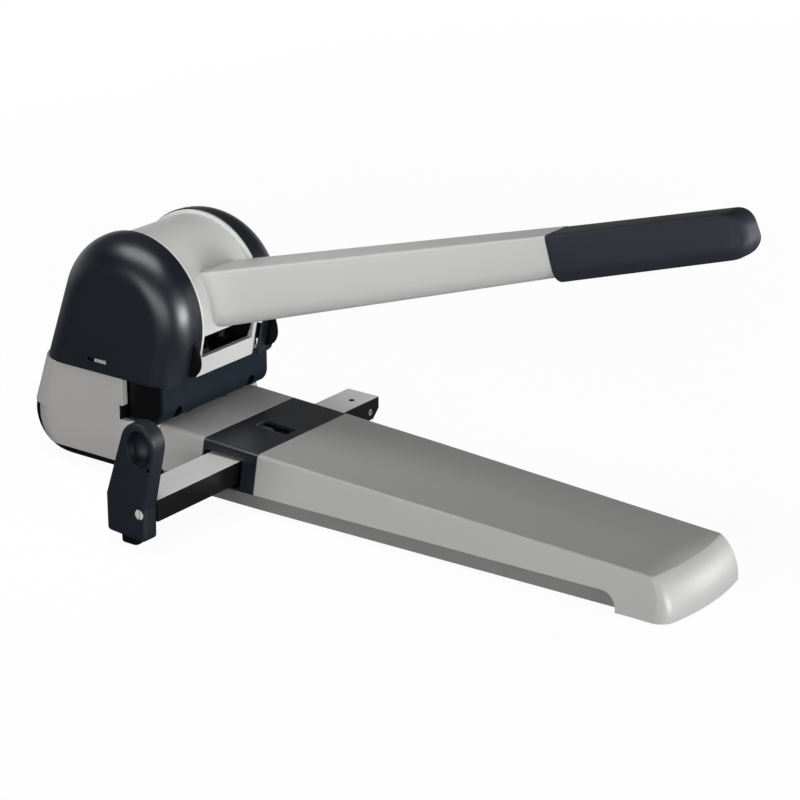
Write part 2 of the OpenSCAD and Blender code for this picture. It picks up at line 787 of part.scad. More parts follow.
// Lever hub: a shell with webs and a boss, open below, with a window in its straight front
hub_r = head_r - 2.5;
hub_low = cover_low + 0.3;
hub_back = -20;
window_z = [cover_low + 14.5, cover_low + 31];
module hub_solid(r, half) {
    x_cyl(r, -half, half);
    low = hub_low - 20;
    x_prism(-half, half, [[0, 0], turn(-r, front_lean), [front_y(r, low) - pivot_y, low - pivot_z],
        [0, low - pivot_z]]);
}
key_w = 5;
key_l = 30;
screw_spots = [for (s = [-1, 1]) for (v = [-1, 1]) [s * arm_root_w / 4, v * arm_root_h / 4]];
arm_screw_r = 3;
module arm_bores(u0, u1, r) {
    lever_frame() for (p = screw_spots)
        translate([p[0], -u0, p[1]]) rotate([90, 0, 0]) cylinder(r = r, h = u1 - u0);
}
module lever_hub() {
    edge = [front_y(hub_r, hub_low) - pivot_y, hub_low - pivot_z];
    grow = far / norm(edge);
    color(silver) difference() {
        at_pivot() union() {
            difference() {
                hub_solid(hub_r, hub_half);
                hub_solid(hub_r - hub_t, hub_half - web_t);
                x_prism(-far, far, [[0, 0], edge * grow, [-far, -far], [far, -far], turn(far, hub_back)]);
            }
            x_cyl(boss_r, -hub_half, hub_half);
        }
        at_pivot() x_cyl(axle_r + seat, -far, far);
        slab(hub_half - web_t - 0.6, -far, 0, window_z[0], window_z[1]);
        at_pivot() block(-key_l / 2, key_l / 2, -key_w / 2, key_w / 2, 0, axle_r + 2.5);
        arm_bores(hub_r - hub_t - 8, far, arm_screw_r + seat);
    }
}
function arm_w(u) = arm_root_w + (arm_end_w - arm_root_w) * (u - hub_r) / (arm_end - hub_r);
function arm_h(u) = arm_root_h + (arm_end_h - arm_root_h) * (u - hub_r) / (arm_end - hub_r);
arm_drop = 1.55;
arm_seat = 0.05;
module arm_section(u) {
    top_r = 3;
    low_r = arm_w(u) * 0.32;
    for (s = [-1, 1]) {
        translate([s * (arm_w(u) / 2 - top_r), -u, arm_h(u) / 2 - arm_drop - top_r])
            rotate([90, 0, 0]) cylinder(r = top_r, h = slice, $fn = form_fn);
        translate([s * (arm_w(u) / 2 - low_r), -u, low_r - arm_h(u) / 2 - arm_drop])
            rotate([90, 0, 0]) cylinder(r = low_r, h = slice, $fn = form_fn);
    }
}
pin_u = arm_end + tang_l - 10;
grip_drop = 3.5;
module grip_cross(r, half) {
    lever_frame() translate([0, -pin_u, -grip_drop]) x_cyl(r, -half, half);
}
module tang(r, l) {
    lever_frame() translate([0, -arm_end + 1, -grip_drop]) rotate([90, 0, 0]) cylinder(r = r, h = l);
}
module lever_arm() {
    color(silver) difference() {
        union() {
            difference() {
                lever_frame() hull() {
                    arm_section(hub_r - 10);
                    arm_section(arm_end - slice);
                }
                at_pivot() x_cyl(hub_r + arm_seat, -far, far);
            }
            tang(tang_r, tang_l + 1);
        }
        arm_bores(0, hub_r + 14, arm_screw_r + seat);
        grip_cross(2 + seat, far);
    }
}
module lever_grip() {
    end_r = 9;
    end_fn = 28;
    edge = 6;
    tip_drop = 2;
    tip_draw = 2.5;
    color(black) difference() {
        lever_frame() hull() {
            for (s = [-1, 1]) for (v = [-1, 1]) {
                translate([s * (grip_w / 2 - edge), -arm_end - seam, v * (grip_h / 2 - edge) - grip_drop])
                    rotate([90, 0, 0]) cylinder(r = edge, h = slice, $fn = form_fn);
                translate([s * (grip_w / 2 - tip_draw - end_r), -arm_end - grip_l + end_r,
                        v * (grip_h / 2 - tip_draw - end_r) - grip_drop - tip_drop])
                    sphere(end_r, $fn = end_fn);
            }
        }
        tang(tang_r + seat, tang_l + 2);
        grip_cross(2 + seat, far);
    }
}
module grip_pin() {
    color(steel) grip_cross(2, grip_w / 2 - 3);
}
module arm_screws() {
    color(steel) {
        arm_bores(hub_r - hub_t, hub_r + 12, arm_screw_r);
        arm_bores(hub_r - hub_t - 6.8, hub_r - hub_t - 3, arm_screw_r + 2);
        arm_bores(hub_r - hub_t - 3.1, hub_r - hub_t, arm_screw_r);
    }
}
pinion_key_x = [pinion_in + 0.5, pinion_out - 0.5];
module lever_axle() {
    color(bright) at_pivot() difference() {
        x_cyl(axle_r, -axle_half, axle_half);
        block(-key_l / 2, key_l / 2, -key_w / 2, key_w / 2, axle_r - 2.5, far);
        pair() block(pinion_key_x[0], pinion_key_x[1], -key_w / 2, key_w / 2, axle_r - 2.5, far);
    }
}
module hub_key() {
    color(steel) at_pivot() block(-key_l / 2, key_l / 2, -key_w / 2, key_w / 2, axle_r - 2.5, axle_r + 2.5);
}
module pinion_keys() {
    color(steel) at_pivot() pair()
        block(pinion_key_x[0], pinion_key_x[1], -key_w / 2, key_w / 2, axle_r - 2.5, axle_r + 2.5);
}
module axle_rings() {
    color(steel) at_pivot() pair() difference() {
        x_cyl(axle_r + 4, pinion_out, pinion_out + ring_t);
        x_cyl(axle_r + seat, 0, far);
    }
}

// Pinions: involute teeth on the part of the rim that meets the rack
teeth = round(2 * pitch_r / tooth_m);
tooth_step = 360 / teeth;
base_r = pitch_r * cos(pressure);
root_r = pitch_r - tooth_root;
tip_r = pitch_r + tooth_m;
function involute(a) = tan(a) * 180 / PI - a;
function tooth_half(r) = tooth_step / 4 - backlash / 4 / pitch_r * 180 / PI + involute(pressure)
    - involute(acos(min(1, base_r / r)));
module pinion() {
    steps = 6;
    low_r = max(base_r, root_r);
    radii = concat([root_r - 1], [for (i = [0:steps]) low_r + (tip_r - low_r) * i / steps]);
    count = ceil(lever_lift / tooth_step) + 3;
    color(steel) at_pivot() difference() {
        union() {
            x_cyl(root_r, pinion_in, pinion_out);
            for (k = [0:count - 1]) let(mid = 180 + (k - 1.5) * tooth_step)
                x_prism(pinion_in, pinion_out, concat(
                    [for (r = radii) turn(r, mid - tooth_half(max(r, base_r)))],
                    [for (i = [len(radii) - 1:-1:0]) let(r = radii[i])
                        turn(r, mid + tooth_half(max(r, base_r)))]));
        }
        x_cyl(axle_r + seat, 0, far);
        block(pinion_key_x[0], pinion_key_x[1], -key_w / 2, key_w / 2, 0, axle_r + 2.5);
        for (a = [30:120:270]) rotate([a, 0, 0])
            translate([0, (axle_r + root_r) / 2 + 1, 0]) x_cyl(4.5, 0, far);
    }
}
module pinion_left() { left() pinion(); }
module pinion_right() { pinion(); }

// Side stop: a channel that slides over a rail, with an end stop on its outer end
module guide_bar() {
    y0 = -bar_y - bar_w / 2;
    y1 = -bar_y + bar_w / 2;
    cut = bar_h / 2;
    color(bright) difference() {
        block(-stop_x, bar_far, y0, y1, bar_low, bar_top);
        block(-far, far, y0 + bar_t, y1 - bar_t, -far, bar_top - bar_t);
        rod(bar_far - 18, -bar_y - 3, 0, far, 2.2);
        translate([0, -far, 0]) rotate([90, 0, 180]) linear_extrude(2 * far)
            polygon([[-bar_far - 1, bar_low - 1], [-bar_far + cut, bar_low - 1],
                [-bar_far - 1, bar_low + cut]]);
        rotate([90, 0, 0]) translate([bar_pin_x, bar_low + bar_pin_h, -far])
            cylinder(r = bar_pin_r + seat, h = 2 * far);
    }
}
bar_pin_r = 2.4;
bar_pin_h = 6;
bar_pin_x = bar_far - 10;
module bar_pin() {
    color(steel) translate([bar_pin_x, -bar_y - bar_w / 2 + 0.2, bar_low + bar_pin_h]) rotate([-90, 0, 0])
        cylinder(r = bar_pin_r, h = bar_w - 0.4);
}
module bar_rail() {
    y0 = -bar_y - bar_w / 2 + bar_t + run_gap;
    y1 = -bar_y + bar_w / 2 - bar_t - run_gap;
    color(black) slab(rail_half, y0, y1, sill_low + pan_floor, bar_top - bar_t - run_gap);
}
stop_screw_z = bar_low + bar_h / 2;
stop_screw_y = -bar_y - bar_w * 0.3;
module bar_end_block() {
    y0 = -bar_y - bar_w / 2 + bar_t;
    y1 = -bar_y + bar_w / 2 - bar_t;
    color(black) difference() {
        block(-stop_x, -stop_x + 14, y0, y1, bar_low, bar_top - bar_t);
        translate([0, stop_screw_y, stop_screw_z]) x_cyl(screw_r + seat, -far, -stop_x + 10);
    }
}
function tangent(p, c, r, side) = let(v = p - c)
    c + turn(r, atan2(v[1], v[0]) + side * acos(r / norm(v)));
module end_stop() {
    c = [stop_top_y, stop_top_z];
    front = [stop_front_y - 0.5, bar_top + 6];
    back = [stop_back_y, bar_top + 1.5];
    x0 = -stop_x - stop_t;
    dish_r = stop_r - 2.5;
    dish_h = 4;
    ball_r = (dish_r * dish_r + dish_h * dish_h) / (2 * dish_h);
    color(dark) difference() {
        union() {
            x_prism(x0, -stop_x, [[stop_front_y, stop_low], [stop_back_y, stop_low], back,
                tangent(back, c, stop_r, 1), c, tangent(front, c, stop_r, -1), front]);
            translate([0, c[0], c[1]]) x_cyl(stop_r, x0, -stop_x);
        }
        translate([x0 - ball_r + dish_h, c[0] - 1.4, c[1] - 2]) sphere(ball_r);
        translate([0, c[0] - stop_r + 5.5, c[1] - stop_r - 1.5]) x_cyl(1.6, x0 - 1, x0 + 5);
        translate([0, stop_screw_y, stop_screw_z]) {
            x_cyl(screw_r + seat, -far, 0);
            x_cyl(screw_r + 1.8, -far, x0 + 2.5);
        }
    }
}
module stop_screw() {
    x0 = -stop_x - stop_t;
    color(bright) translate([0, stop_screw_y, stop_screw_z]) difference() {
        union() {
            x_cyl(screw_r + 1.6, x0 + 0.5, x0 + 2.5);
            x_cyl(screw_r, x0 + 2.5, -stop_x + 9);
        }
        translate([x0 + 0.5, 0, 0]) cube([1.6, 0.8, far], center = true);
    }
}
module stop_foot() {
    half = stop_t * 0.36;
    length = 14.5;
    front = stop_front_y + 8.5;
    color(black) block(stop_mid - half, stop_mid + half, front, front + length, 0.3, stop_low);
}

// Chip tray: a drawer under the die plate with a tall rear face
module chip_tray() {
    zc = tray_low + tray_r;
    yc = house_back(zc) + tray_proud - tray_r / cos(house_lean);
    arc = [for (i = [0:10]) let(a = -90 + (90 + house_lean) * i / 10)
        [yc + tray_r * cos(a), zc + tray_r * sin(a)]];
    top_y = house_back(tray_top) + tray_proud;
    color(black) difference() {
        x_prism(-tray_half, tray_half, concat([[tray_front_y, tray_low]], arc,
            [[top_y, tray_top], [tray_front_y, tray_top]]));
        slab(tray_half - tray_wall, tray_front_y + tray_wall, yc, tray_low + tray_wall, far);
        slab(far, -far, house_back(tray_top) - house_wall - 1, tray_rim, far);
        slab(18, top_y - 4, far, tray_top - 5, far);
    }
}

base_pan();
tongue_cover();
slot_cover();
deck();
rear_housing();
base_shoe();
die_plate();
die_left();
die_right();
side_plate_left();
side_plate_right();
side_cover_left();
side_cover_right();
back_panel();
paper_stop();
tie_rods();
axle_bushes();
guide_posts();
post_nuts();
spring_left();
spring_right();
rack_guide_left();
rack_guide_right();
bar_rail();
pointer();
nose_pads();
pan_screws();
plate_screws();
lever_hub();
lever_arm();
lever_grip();
grip_pin();
arm_screws();
lever_axle();
hub_key();
pinion_left();
pinion_right();
pinion_keys();
axle_rings();
ram_left();
punch_left();
punch_plug_left();
ram_right();
punch_right();
punch_plug_right();
hold_down();
post_bushes();
guide_bar();
end_stop();
stop_screw();
bar_end_block();
bar_pin();
stop_foot();
chip_tray();
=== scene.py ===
# %% [markdown]
# # A long-lever desk punch, dressed around its CAD frame
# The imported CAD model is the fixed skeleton: sizes, joints and hidden mechanism come from it.
# This lesson puts finer surfaces over the moulded and pressed pieces and gives every piece a finish.
# Sizes in the formulas are millimetres, in the frame of the CAD model. Lamps are placed in metres.

# %% Load the frame
import math

import bmesh
import bpy
import numpy as np
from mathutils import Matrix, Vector


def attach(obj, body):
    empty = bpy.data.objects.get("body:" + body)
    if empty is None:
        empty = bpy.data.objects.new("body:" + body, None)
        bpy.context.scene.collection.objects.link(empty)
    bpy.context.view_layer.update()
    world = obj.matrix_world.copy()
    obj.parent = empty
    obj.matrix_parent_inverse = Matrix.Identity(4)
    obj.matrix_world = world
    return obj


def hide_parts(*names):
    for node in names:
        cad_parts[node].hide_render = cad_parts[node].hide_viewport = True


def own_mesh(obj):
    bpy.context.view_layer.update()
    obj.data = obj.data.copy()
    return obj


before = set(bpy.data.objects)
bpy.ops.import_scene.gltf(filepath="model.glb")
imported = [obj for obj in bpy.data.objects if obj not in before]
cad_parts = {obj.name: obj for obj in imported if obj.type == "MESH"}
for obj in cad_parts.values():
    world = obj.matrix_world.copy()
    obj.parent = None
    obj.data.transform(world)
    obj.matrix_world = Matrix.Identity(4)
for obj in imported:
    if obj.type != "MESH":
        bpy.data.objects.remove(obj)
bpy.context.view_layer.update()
scene = bpy.context.scene
MM = 0.001
SIDES = (("left", -1), ("right", 1))
PIVOT_Y, PIVOT_Z = 20.0, 115.5

# %% [markdown]
# ## Camera
# The photograph was taken with a long lens from the front left, a little above the table.
# A camera could be framed by eye; here its place was solved from straight edges of the object, so
# that the picture and the render can be laid over each other.

# %% Camera
CAMERA_AT = (-1357.682, -1177.786, 711.754)
CAMERA_AIM = (59.828, -138.500, 56.272)
FOCAL_PX, PICTURE_PX, SENSOR, FAR_CLIP = 2670.81, 800, 36.0, 50.0


def stand(obj, at, aim_at):
    """Puts an object at one point and turns it to look at another."""
    scene.collection.objects.link(obj)
    obj.location = Vector(at)
    obj.rotation_mode = "QUATERNION"
    obj.rotation_quaternion = (Vector(aim_at) - Vector(at)).to_track_quat("-Z", "Y")


camera = bpy.data.objects.new("camera", bpy.data.cameras.new("camera"))
stand(camera, Vector(CAMERA_AT) * MM, Vector(CAMERA_AIM) * MM)
camera.data.sensor_width = SENSOR
camera.data.lens = FOCAL_PX / PICTURE_PX * SENSOR
camera.data.clip_end = FAR_CLIP
scene.camera = camera
scene.view_settings.view_transform = "Standard"
print("lens", round(camera.data.lens, 2), "mm")

# %% [markdown]
# ## Studio light
# Satin paint shows its form through broad soft light. Low soft boxes stand in front, at the right and
# at the left: fronts are lighter than flanks, flanks lighter than tops. A small box hangs close over
# the head, turned a little away from the tongue: with the front one it draws the highlights of the
# domes. More than half of the light from the left, and a weak box behind that lifts the back, show in
# no reflection, so the dark flanks stay dark.

# %% Lamps
MIDDLE, LEFT_AIM = (0.0, -0.12, 0.08), (0.0, -0.08, 0.1)
LEFT_SIZE = (1.7, 0.6)


def lamp(name, at, aim_at, size, power, in_reflections=True):
    """A soft box of that width and height (m) and power (W) at one point, turned to another."""
    data = bpy.data.lights.new(name, "AREA")
    data.shape, data.energy = "RECTANGLE", power
    data.size, data.size_y = size
    obj = bpy.data.objects.new(name, data)
    stand(obj, at, aim_at)
    obj.visible_camera = False
    obj.visible_glossy = in_reflections


lamp("front_box", (-0.05, -2.75, 0.32), MIDDLE, (1.7, 0.58), 66)
lamp("top_box", (-0.17, 0.08, 0.56), (0, 0.13, 0.16), (0.5, 0.23), 1.4)
lamp("side_box", (-1.70, -0.20, 0.33), LEFT_AIM, LEFT_SIZE, 10)
lamp("side_fill", (-1.80, -0.20, 0.33), LEFT_AIM, LEFT_SIZE, 13, in_reflections=False)
lamp("right_box", (1.05, -1.15, 0.24), MIDDLE, (0.5, 0.45), 7)
lamp("back_box", (0.60, 2.00, 0.45), MIDDLE, (0.9, 0.7), 14, in_reflections=False)
print("lamps:", len(bpy.data.lights))

# %% [markdown]
# ## World
# The world is white for the camera. As a light it is a weak fill. In reflections it is pale only behind
# the punch, low down, as a white sweep in a dark room is. The nodes could be linked by hand in the
# shader editor; small helpers that make a node and feed its inputs keep the recipe readable here.

# %% Shader helpers
def link(tree, source, target):
    tree.links.new(source, target)


def feed(tree, socket, value):
    """Links the value to the socket where it is an output of a node, and sets it otherwise."""
    if isinstance(value, bpy.types.NodeSocket):
        link(tree, value, socket)
    else:
        socket.default_value = value


def node(tree, kind, settings=None, **inputs):
    """A shader node of that kind. Inputs go by name, or by number as _0, _1 and so on."""
    made = tree.nodes.new("ShaderNode" + kind)
    for key, value in (settings or {}).items():
        setattr(made, key, value)
    for key, value in inputs.items():
        feed(tree, made.inputs[int(key[1:]) if key[0] == "_" else key.replace("_", " ")], value)
    return made


def math_node(tree, operation, *values):
    """What a math operation makes of one to three values."""
    numbered = {f"_{i}": value for i, value in enumerate(values)}
    return node(tree, "Math", {"operation": operation}, **numbered).outputs[0]


def vector_value(tree, operation, *vectors):
    """The number that an operation, such as LENGTH, makes of one or two vectors."""
    numbered = {f"_{i}": vector for i, vector in enumerate(vectors)}
    return node(tree, "VectorMath", {"operation": operation}, **numbered).outputs["Value"]


def ramp(tree, value, start, end, low, high):
    """Goes from low to high while the value goes from start to end, and is level beyond."""
    made = node(tree, "MapRange", Value=value, From_Min=start, From_Max=end, To_Min=low, To_Max=high)
    return made.outputs[0]


def mix_colour(tree, share, first, second):
    """A colour between two; each is a socket or red, green, blue and alpha."""
    return node(tree, "Mix", {"data_type": "RGBA"}, _0=share, _6=first, _7=second).outputs[2]


# %% World
WHITE = (1, 1, 1, 1)
BEHIND = (0.806, 0.592, 0.0)
FILL_LOW, FILL_HIGH, FILL_RISE = 0.12, 0.03, 0.6
SHINE_LOW, SHINE_HIGH, SHINE_RISE = 0.70, 0.10, 0.30
SHINE_BESIDE, BESIDE, FACING = 0.06, 0.1, 0.7

world = bpy.data.worlds.new("studio")
scene.world = world
world.use_nodes = True
sky = world.node_tree
sky.nodes.clear()
direction = sky.nodes.new("ShaderNodeTexCoord").outputs["Generated"]
upward = node(sky, "SeparateXYZ", Vector=direction).outputs[2]
fill = ramp(sky, upward, 0.0, FILL_RISE, FILL_LOW, FILL_HIGH)
low_shine = ramp(sky, upward, 0.0, SHINE_RISE, SHINE_LOW, SHINE_HIGH)
backward = vector_value(sky, "DOT_PRODUCT", direction, BEHIND)
back_shine = ramp(sky, backward, BESIDE, FACING, SHINE_BESIDE, 1.0)
shine = math_node(sky, "MULTIPLY", low_shine, back_shine)
rays = sky.nodes.new("ShaderNodeLightPath").outputs
seen = math_node(sky, "MAXIMUM", rays["Is Camera Ray"], rays["Is Transmission Ray"])
unseen = node(sky, "Mix", _0=rays["Is Glossy Ray"], _2=fill, _3=shine).outputs[0]
strength = node(sky, "Mix", _0=seen, _2=unseen, _3=1.0).outputs[0]
background = node(sky, "Background", Color=WHITE, Strength=strength)
link(sky, background.outputs[0], sky.nodes.new("ShaderNodeOutputWorld").inputs[0])
print("world nodes:", len(sky.nodes))

# %% [markdown]
# ## Floor
# The floor is a plain white sweep. Part of its brightness is its own glow and part is light that it
# receives, so it stays white in the picture and still keeps a soft shadow under the punch. The glow
# grows with distance, since the lamps reach only the middle. Reflections show it only far behind.

# %% Floor
FLOOR_HALF, FLOOR_GREY = 12.0, (0.08, 0.08, 0.08, 1)
GLOW_NEAR, GLOW_FROM, GLOW_TO = 0.94, 0.4, 2.2
MIRRORED_NEAR, MIRRORED_FROM, MIRRORED_TO = 0.02, 0.2, 2.2

floor_mesh = bpy.data.meshes.new("floor")
corners = FLOOR_HALF * np.array([[-1, -1, 0], [1, -1, 0], [1, 1, 0], [-1, 1, 0]])
floor_mesh.from_pydata(corners.tolist(), [], [(0, 1, 2, 3)])
floor = bpy.data.objects.new("floor", floor_mesh)
scene.collection.objects.link(floor)
floor_paint = bpy.data.materials.new("white_floor")
floor_paint.use_nodes = True
tree = floor_paint.node_tree
tree.nodes.clear()
rays = tree.nodes.new("ShaderNodeLightPath").outputs
spot = tree.nodes.new("ShaderNodeTexCoord").outputs["Object"]
backward = vector_value(tree, "DOT_PRODUCT", spot, BEHIND)
in_mirror = ramp(tree, backward, MIRRORED_FROM, MIRRORED_TO, MIRRORED_NEAR, 1.0)
in_mirror = math_node(tree, "MULTIPLY", rays["Is Glossy Ray"], in_mirror)
seen = math_node(tree, "MAXIMUM", rays["Is Camera Ray"], in_mirror)
seen = math_node(tree, "MAXIMUM", seen, rays["Is Transmission Ray"])
glow = ramp(tree, vector_value(tree, "LENGTH", spot), GLOW_FROM, GLOW_TO, GLOW_NEAR, 1.0)
glowing = node(tree, "Emission", Color=WHITE, Strength=math_node(tree, "MULTIPLY", seen, glow))
matt = node(tree, "BsdfDiffuse", Color=FLOOR_GREY)
both = node(tree, "AddShader", _0=glowing.outputs[0], _1=matt.outputs[0])
link(tree, both.outputs[0], tree.nodes.new("ShaderNodeOutputMaterial").inputs[0])
floor_mesh.materials.append(floor_paint)
print("floor", 2 * FLOOR_HALF, "m wide")

# %% [markdown]
# ## Shared shader effects
# Three effects return in most finishes, so each is a node group with named sockets.
# Soft edges turns the shading normal near an edge, as a small radius would; CAD solids have none.
# Fine grain is a speckle for paint texture and mould texture. Handling is a broad, faint cloud: the
# uneven gloss that hands and cloths leave.

# %% Node groups
SOFT_RADIUS, BEVEL_SAMPLES, EDGE_TURN = 0.0006, 6, 0.8
CLOUD_LOW, CLOUD_HIGH = 0.35, 0.65
GRAIN_DETAIL, CLOUD_DETAIL, BRUSH_DETAIL = 3.0, 4.0, 2.0


def new_group(name, inputs, outputs):
    """An empty shader group with float inputs {name: default} and outputs {name: socket type}."""
    group = bpy.data.node_groups.new(name, "ShaderNodeTree")
    for key, default in inputs.items():
        socket = group.interface.new_socket(name=key, in_out="INPUT", socket_type="NodeSocketFloat")
        socket.default_value = default
    for key, kind in outputs.items():
        group.interface.new_socket(name=key, in_out="OUTPUT", socket_type=kind)
    return group, group.nodes.new("NodeGroupInput").outputs, group.nodes.new("NodeGroupOutput").inputs


def object_noise(tree, scale, detail, stretch=(1, 1, 1)):
    """Noise on Object coordinates, drawn out along an axis where stretch is below one."""
    spot = tree.nodes.new("ShaderNodeTexCoord").outputs["Object"]
    mapped = node(tree, "Mapping", Vector=spot, Scale=stretch)
    return node(tree, "TexNoise", Vector=mapped.outputs[0], Scale=scale, Detail=detail).outputs[0]


soft_group, given, made = new_group("soft_edges", {"Radius": SOFT_RADIUS},
                                    {"Normal": "NodeSocketVector", "Edge": "NodeSocketFloat"})
soft_normal = node(soft_group, "Bevel", {"samples": BEVEL_SAMPLES}, Radius=given["Radius"]).outputs[0]
flat_normal = soft_group.nodes.new("ShaderNodeNewGeometry").outputs["Normal"]
likeness = vector_value(soft_group, "DOT_PRODUCT", soft_normal, flat_normal)
link(soft_group, soft_normal, made["Normal"])
link(soft_group, ramp(soft_group, likeness, 1.0, EDGE_TURN, 0.0, 1.0), made["Edge"])

grain_group, given, made = new_group("fine_grain", {"Scale": 900.0, "Detail": GRAIN_DETAIL},
                                     {"Grain": "NodeSocketFloat"})
link(grain_group, object_noise(grain_group, given["Scale"], given["Detail"]), made["Grain"])

hand_group, given, made = new_group("handling", {"Scale": 14.0, "Low": 0.3, "High": 0.45},
                                    {"Gloss": "NodeSocketFloat", "Cloud": "NodeSocketFloat"})
cloud = object_noise(hand_group, given["Scale"], CLOUD_DETAIL)
gloss = ramp(hand_group, cloud, CLOUD_LOW, CLOUD_HIGH, given["Low"], given["High"])
link(hand_group, gloss, made["Gloss"])
link(hand_group, cloud, made["Cloud"])
print("node groups:", [group.name for group in bpy.data.node_groups])

# %% [markdown]
# ## Finishes
# Each finish mixes two near colours by the grain and the cloud, lightens its edges with a painted edge
# highlight that is partly edge wear, and takes its gloss from the handling group. A flat colour would
# look like a stand-in. Brushed steel uses the same recipe with a grain that is drawn out along one axis.

# %% Finish recipe
FINISHES = {}
BUMP_DEPTH = 0.0004


def use_group(tree, group, **inputs):
    made = tree.nodes.new("ShaderNodeGroup")
    made.node_tree = group
    for key, value in inputs.items():
        made.inputs[key].default_value = value
    return made.outputs


def finish(name, dark, light, edge, gloss, metal=0.0, grain=900.0, bump=0.02, brushed=None, specular=0.5,
           hand=14.0):
    """A procedural finish.

    Colour runs from dark to light with grain and cloud, and goes towards edge where the surface
    turns sharply: a painted edge highlight that is partly edge wear. Roughness runs between the two
    gloss values with the cloud. The grain also raises the bump, and soft edges give the bump its
    base normal.
    """
    material = FINISHES[name] = bpy.data.materials.new(name + "_finish")
    material.use_nodes = True
    tree = material.node_tree
    shader = tree.nodes["Principled BSDF"].inputs
    soft = use_group(tree, soft_group, Radius=SOFT_RADIUS)
    cloud = use_group(tree, hand_group, Scale=hand, Low=gloss[0], High=gloss[1])
    if brushed is None:
        fine = use_group(tree, grain_group, Scale=grain)["Grain"]
    else:
        fine = object_noise(tree, grain, BRUSH_DETAIL, brushed)
    half_cloud = math_node(tree, "MULTIPLY", cloud["Cloud"], 0.5)
    shade = math_node(tree, "MULTIPLY_ADD", fine, 0.5, half_cloud)
    body = mix_colour(tree, shade, (*dark, 1), (*light, 1))
    relief = node(tree, "Bump", Strength=bump, Distance=BUMP_DEPTH, Height=fine, Normal=soft["Normal"])
    # Painted edge highlight, partly edge wear: the colour goes to the lighter edge colour where the surface
    # turns.
    feed(tree, shader["Base Color"], mix_colour(tree, soft["Edge"], body, (*edge, 1)))
    feed(tree, shader["Roughness"], cloud["Gloss"])
    feed(tree, shader["Normal"], relief.outputs[0])
    feed(tree, shader["Metallic"], metal)
    feed(tree, shader["Specular IOR Level"], specular)


# %% Paints and plastics
SILVER = dict(metal=0.06, grain=2600.0, bump=0.04, hand=9.0)
MOULDED = dict(grain=1500.0, bump=0.04)
finish("silver_paint", (0.37, 0.37, 0.365), (0.45, 0.45, 0.44), (0.52, 0.52, 0.51),
       (0.40, 0.46), **SILVER)
# A lighter copy of the silver for the lever arm and the stop's screw: painted light falling on them.
finish("silver_cast", (0.565, 0.57, 0.555), (0.635, 0.64, 0.625), (0.69, 0.69, 0.68),
       (0.42, 0.48), **SILVER)
finish("silver_house", (0.36, 0.355, 0.345), (0.43, 0.425, 0.415), (0.50, 0.50, 0.49),
       (0.44, 0.50), **SILVER)
# A darker copy of the silver for the pan's sill: painted shade under the tongue's skirt.
finish("silver_sill_painted_shade", (0.20, 0.198, 0.195), (0.26, 0.258, 0.255), (0.33, 0.33, 0.33),
       (0.40, 0.46), **SILVER)
# A near-white copy of the silver for the side plates: painted light on their lit inner faces; their inside
# gets painted shade below.
finish("silver_rim_painted_light_and_shade", (0.70, 0.705, 0.69), (0.78, 0.785, 0.77), (0.84, 0.84, 0.83),
       (0.42, 0.48), **SILVER)
# A lighter copy of the silver for the drum: painted light on its top; its inside gets painted shade below.
finish("silver_drum_painted_light_and_shade", (0.55, 0.555, 0.545), (0.62, 0.625, 0.615), (0.67, 0.67, 0.66),
       (0.42, 0.48), **SILVER)
finish("dark_plastic", (0.0028, 0.0052, 0.0095), (0.0045, 0.0075, 0.0130), (0.012, 0.017, 0.026),
       (0.32, 0.37), specular=0.9, **MOULDED)
finish("stop_plastic", (0.0042, 0.0068, 0.0115), (0.0062, 0.0095, 0.0155), (0.014, 0.019, 0.028),
       (0.45, 0.51), **MOULDED)
finish("lip_plastic", (0.006, 0.011, 0.017), (0.0085, 0.0145, 0.0215), (0.016, 0.024, 0.033),
       (0.43, 0.49), specular=0.12, **MOULDED)
# Real black plastic for the shoe, tray, rail and feet, and painted shade on the fins, hold-down ends and
# throat plates.
finish("black_plastic", (0.002, 0.002, 0.0026), (0.004, 0.004, 0.0048), (0.008, 0.008, 0.010),
       (0.34, 0.42), specular=0.16, grain=1300.0, bump=0.06)
finish("grip_plastic", (0.015, 0.018, 0.026), (0.023, 0.027, 0.038), (0.042, 0.047, 0.060),
       (0.56, 0.63), specular=0.35, grain=1100.0, bump=0.08)
finish("rubber", (0.01, 0.01, 0.01), (0.02, 0.02, 0.02), (0.03, 0.03, 0.03),
       (0.70, 0.85), specular=0.3, grain=800.0, bump=0.12)
print("paints and plastics:", len(FINISHES))

# %% Metals
# Near-black steel on the springs, guide posts and nuts is painted shade: the hub's window and the space
# under the lip stay dark.
finish("steel_painted_shade", (0.010, 0.010, 0.011), (0.018, 0.018, 0.020), (0.03, 0.03, 0.03),
       (0.36, 0.44), metal=0.4, grain=500.0, specular=0.3)
finish("steel", (0.42, 0.43, 0.44), (0.56, 0.57, 0.58), (0.70, 0.70, 0.70),
       (0.28, 0.38), metal=1.0, grain=500.0, bump=0.03, brushed=(1, 0.06, 1))
finish("bright_steel", (0.66, 0.66, 0.655), (0.78, 0.78, 0.77), (0.85, 0.85, 0.85),
       (0.20, 0.28), metal=0.9, grain=700.0, brushed=(0.04, 1, 1))
# Near white and hardly metal: a painted bright reflection on the polished top; the flanks are painted black
# further down.
finish("bar_painted_reflection", (0.88, 0.88, 0.87), (0.95, 0.95, 0.94), (0.96, 0.96, 0.96),
       (0.20, 0.27), metal=0.05, grain=700.0, brushed=(0.04, 1, 1))
finish("brass", (0.50, 0.34, 0.13), (0.64, 0.45, 0.19), (0.75, 0.58, 0.30),
       (0.26, 0.36), metal=1.0, grain=600.0)
print("with the metals:", len(FINISHES))

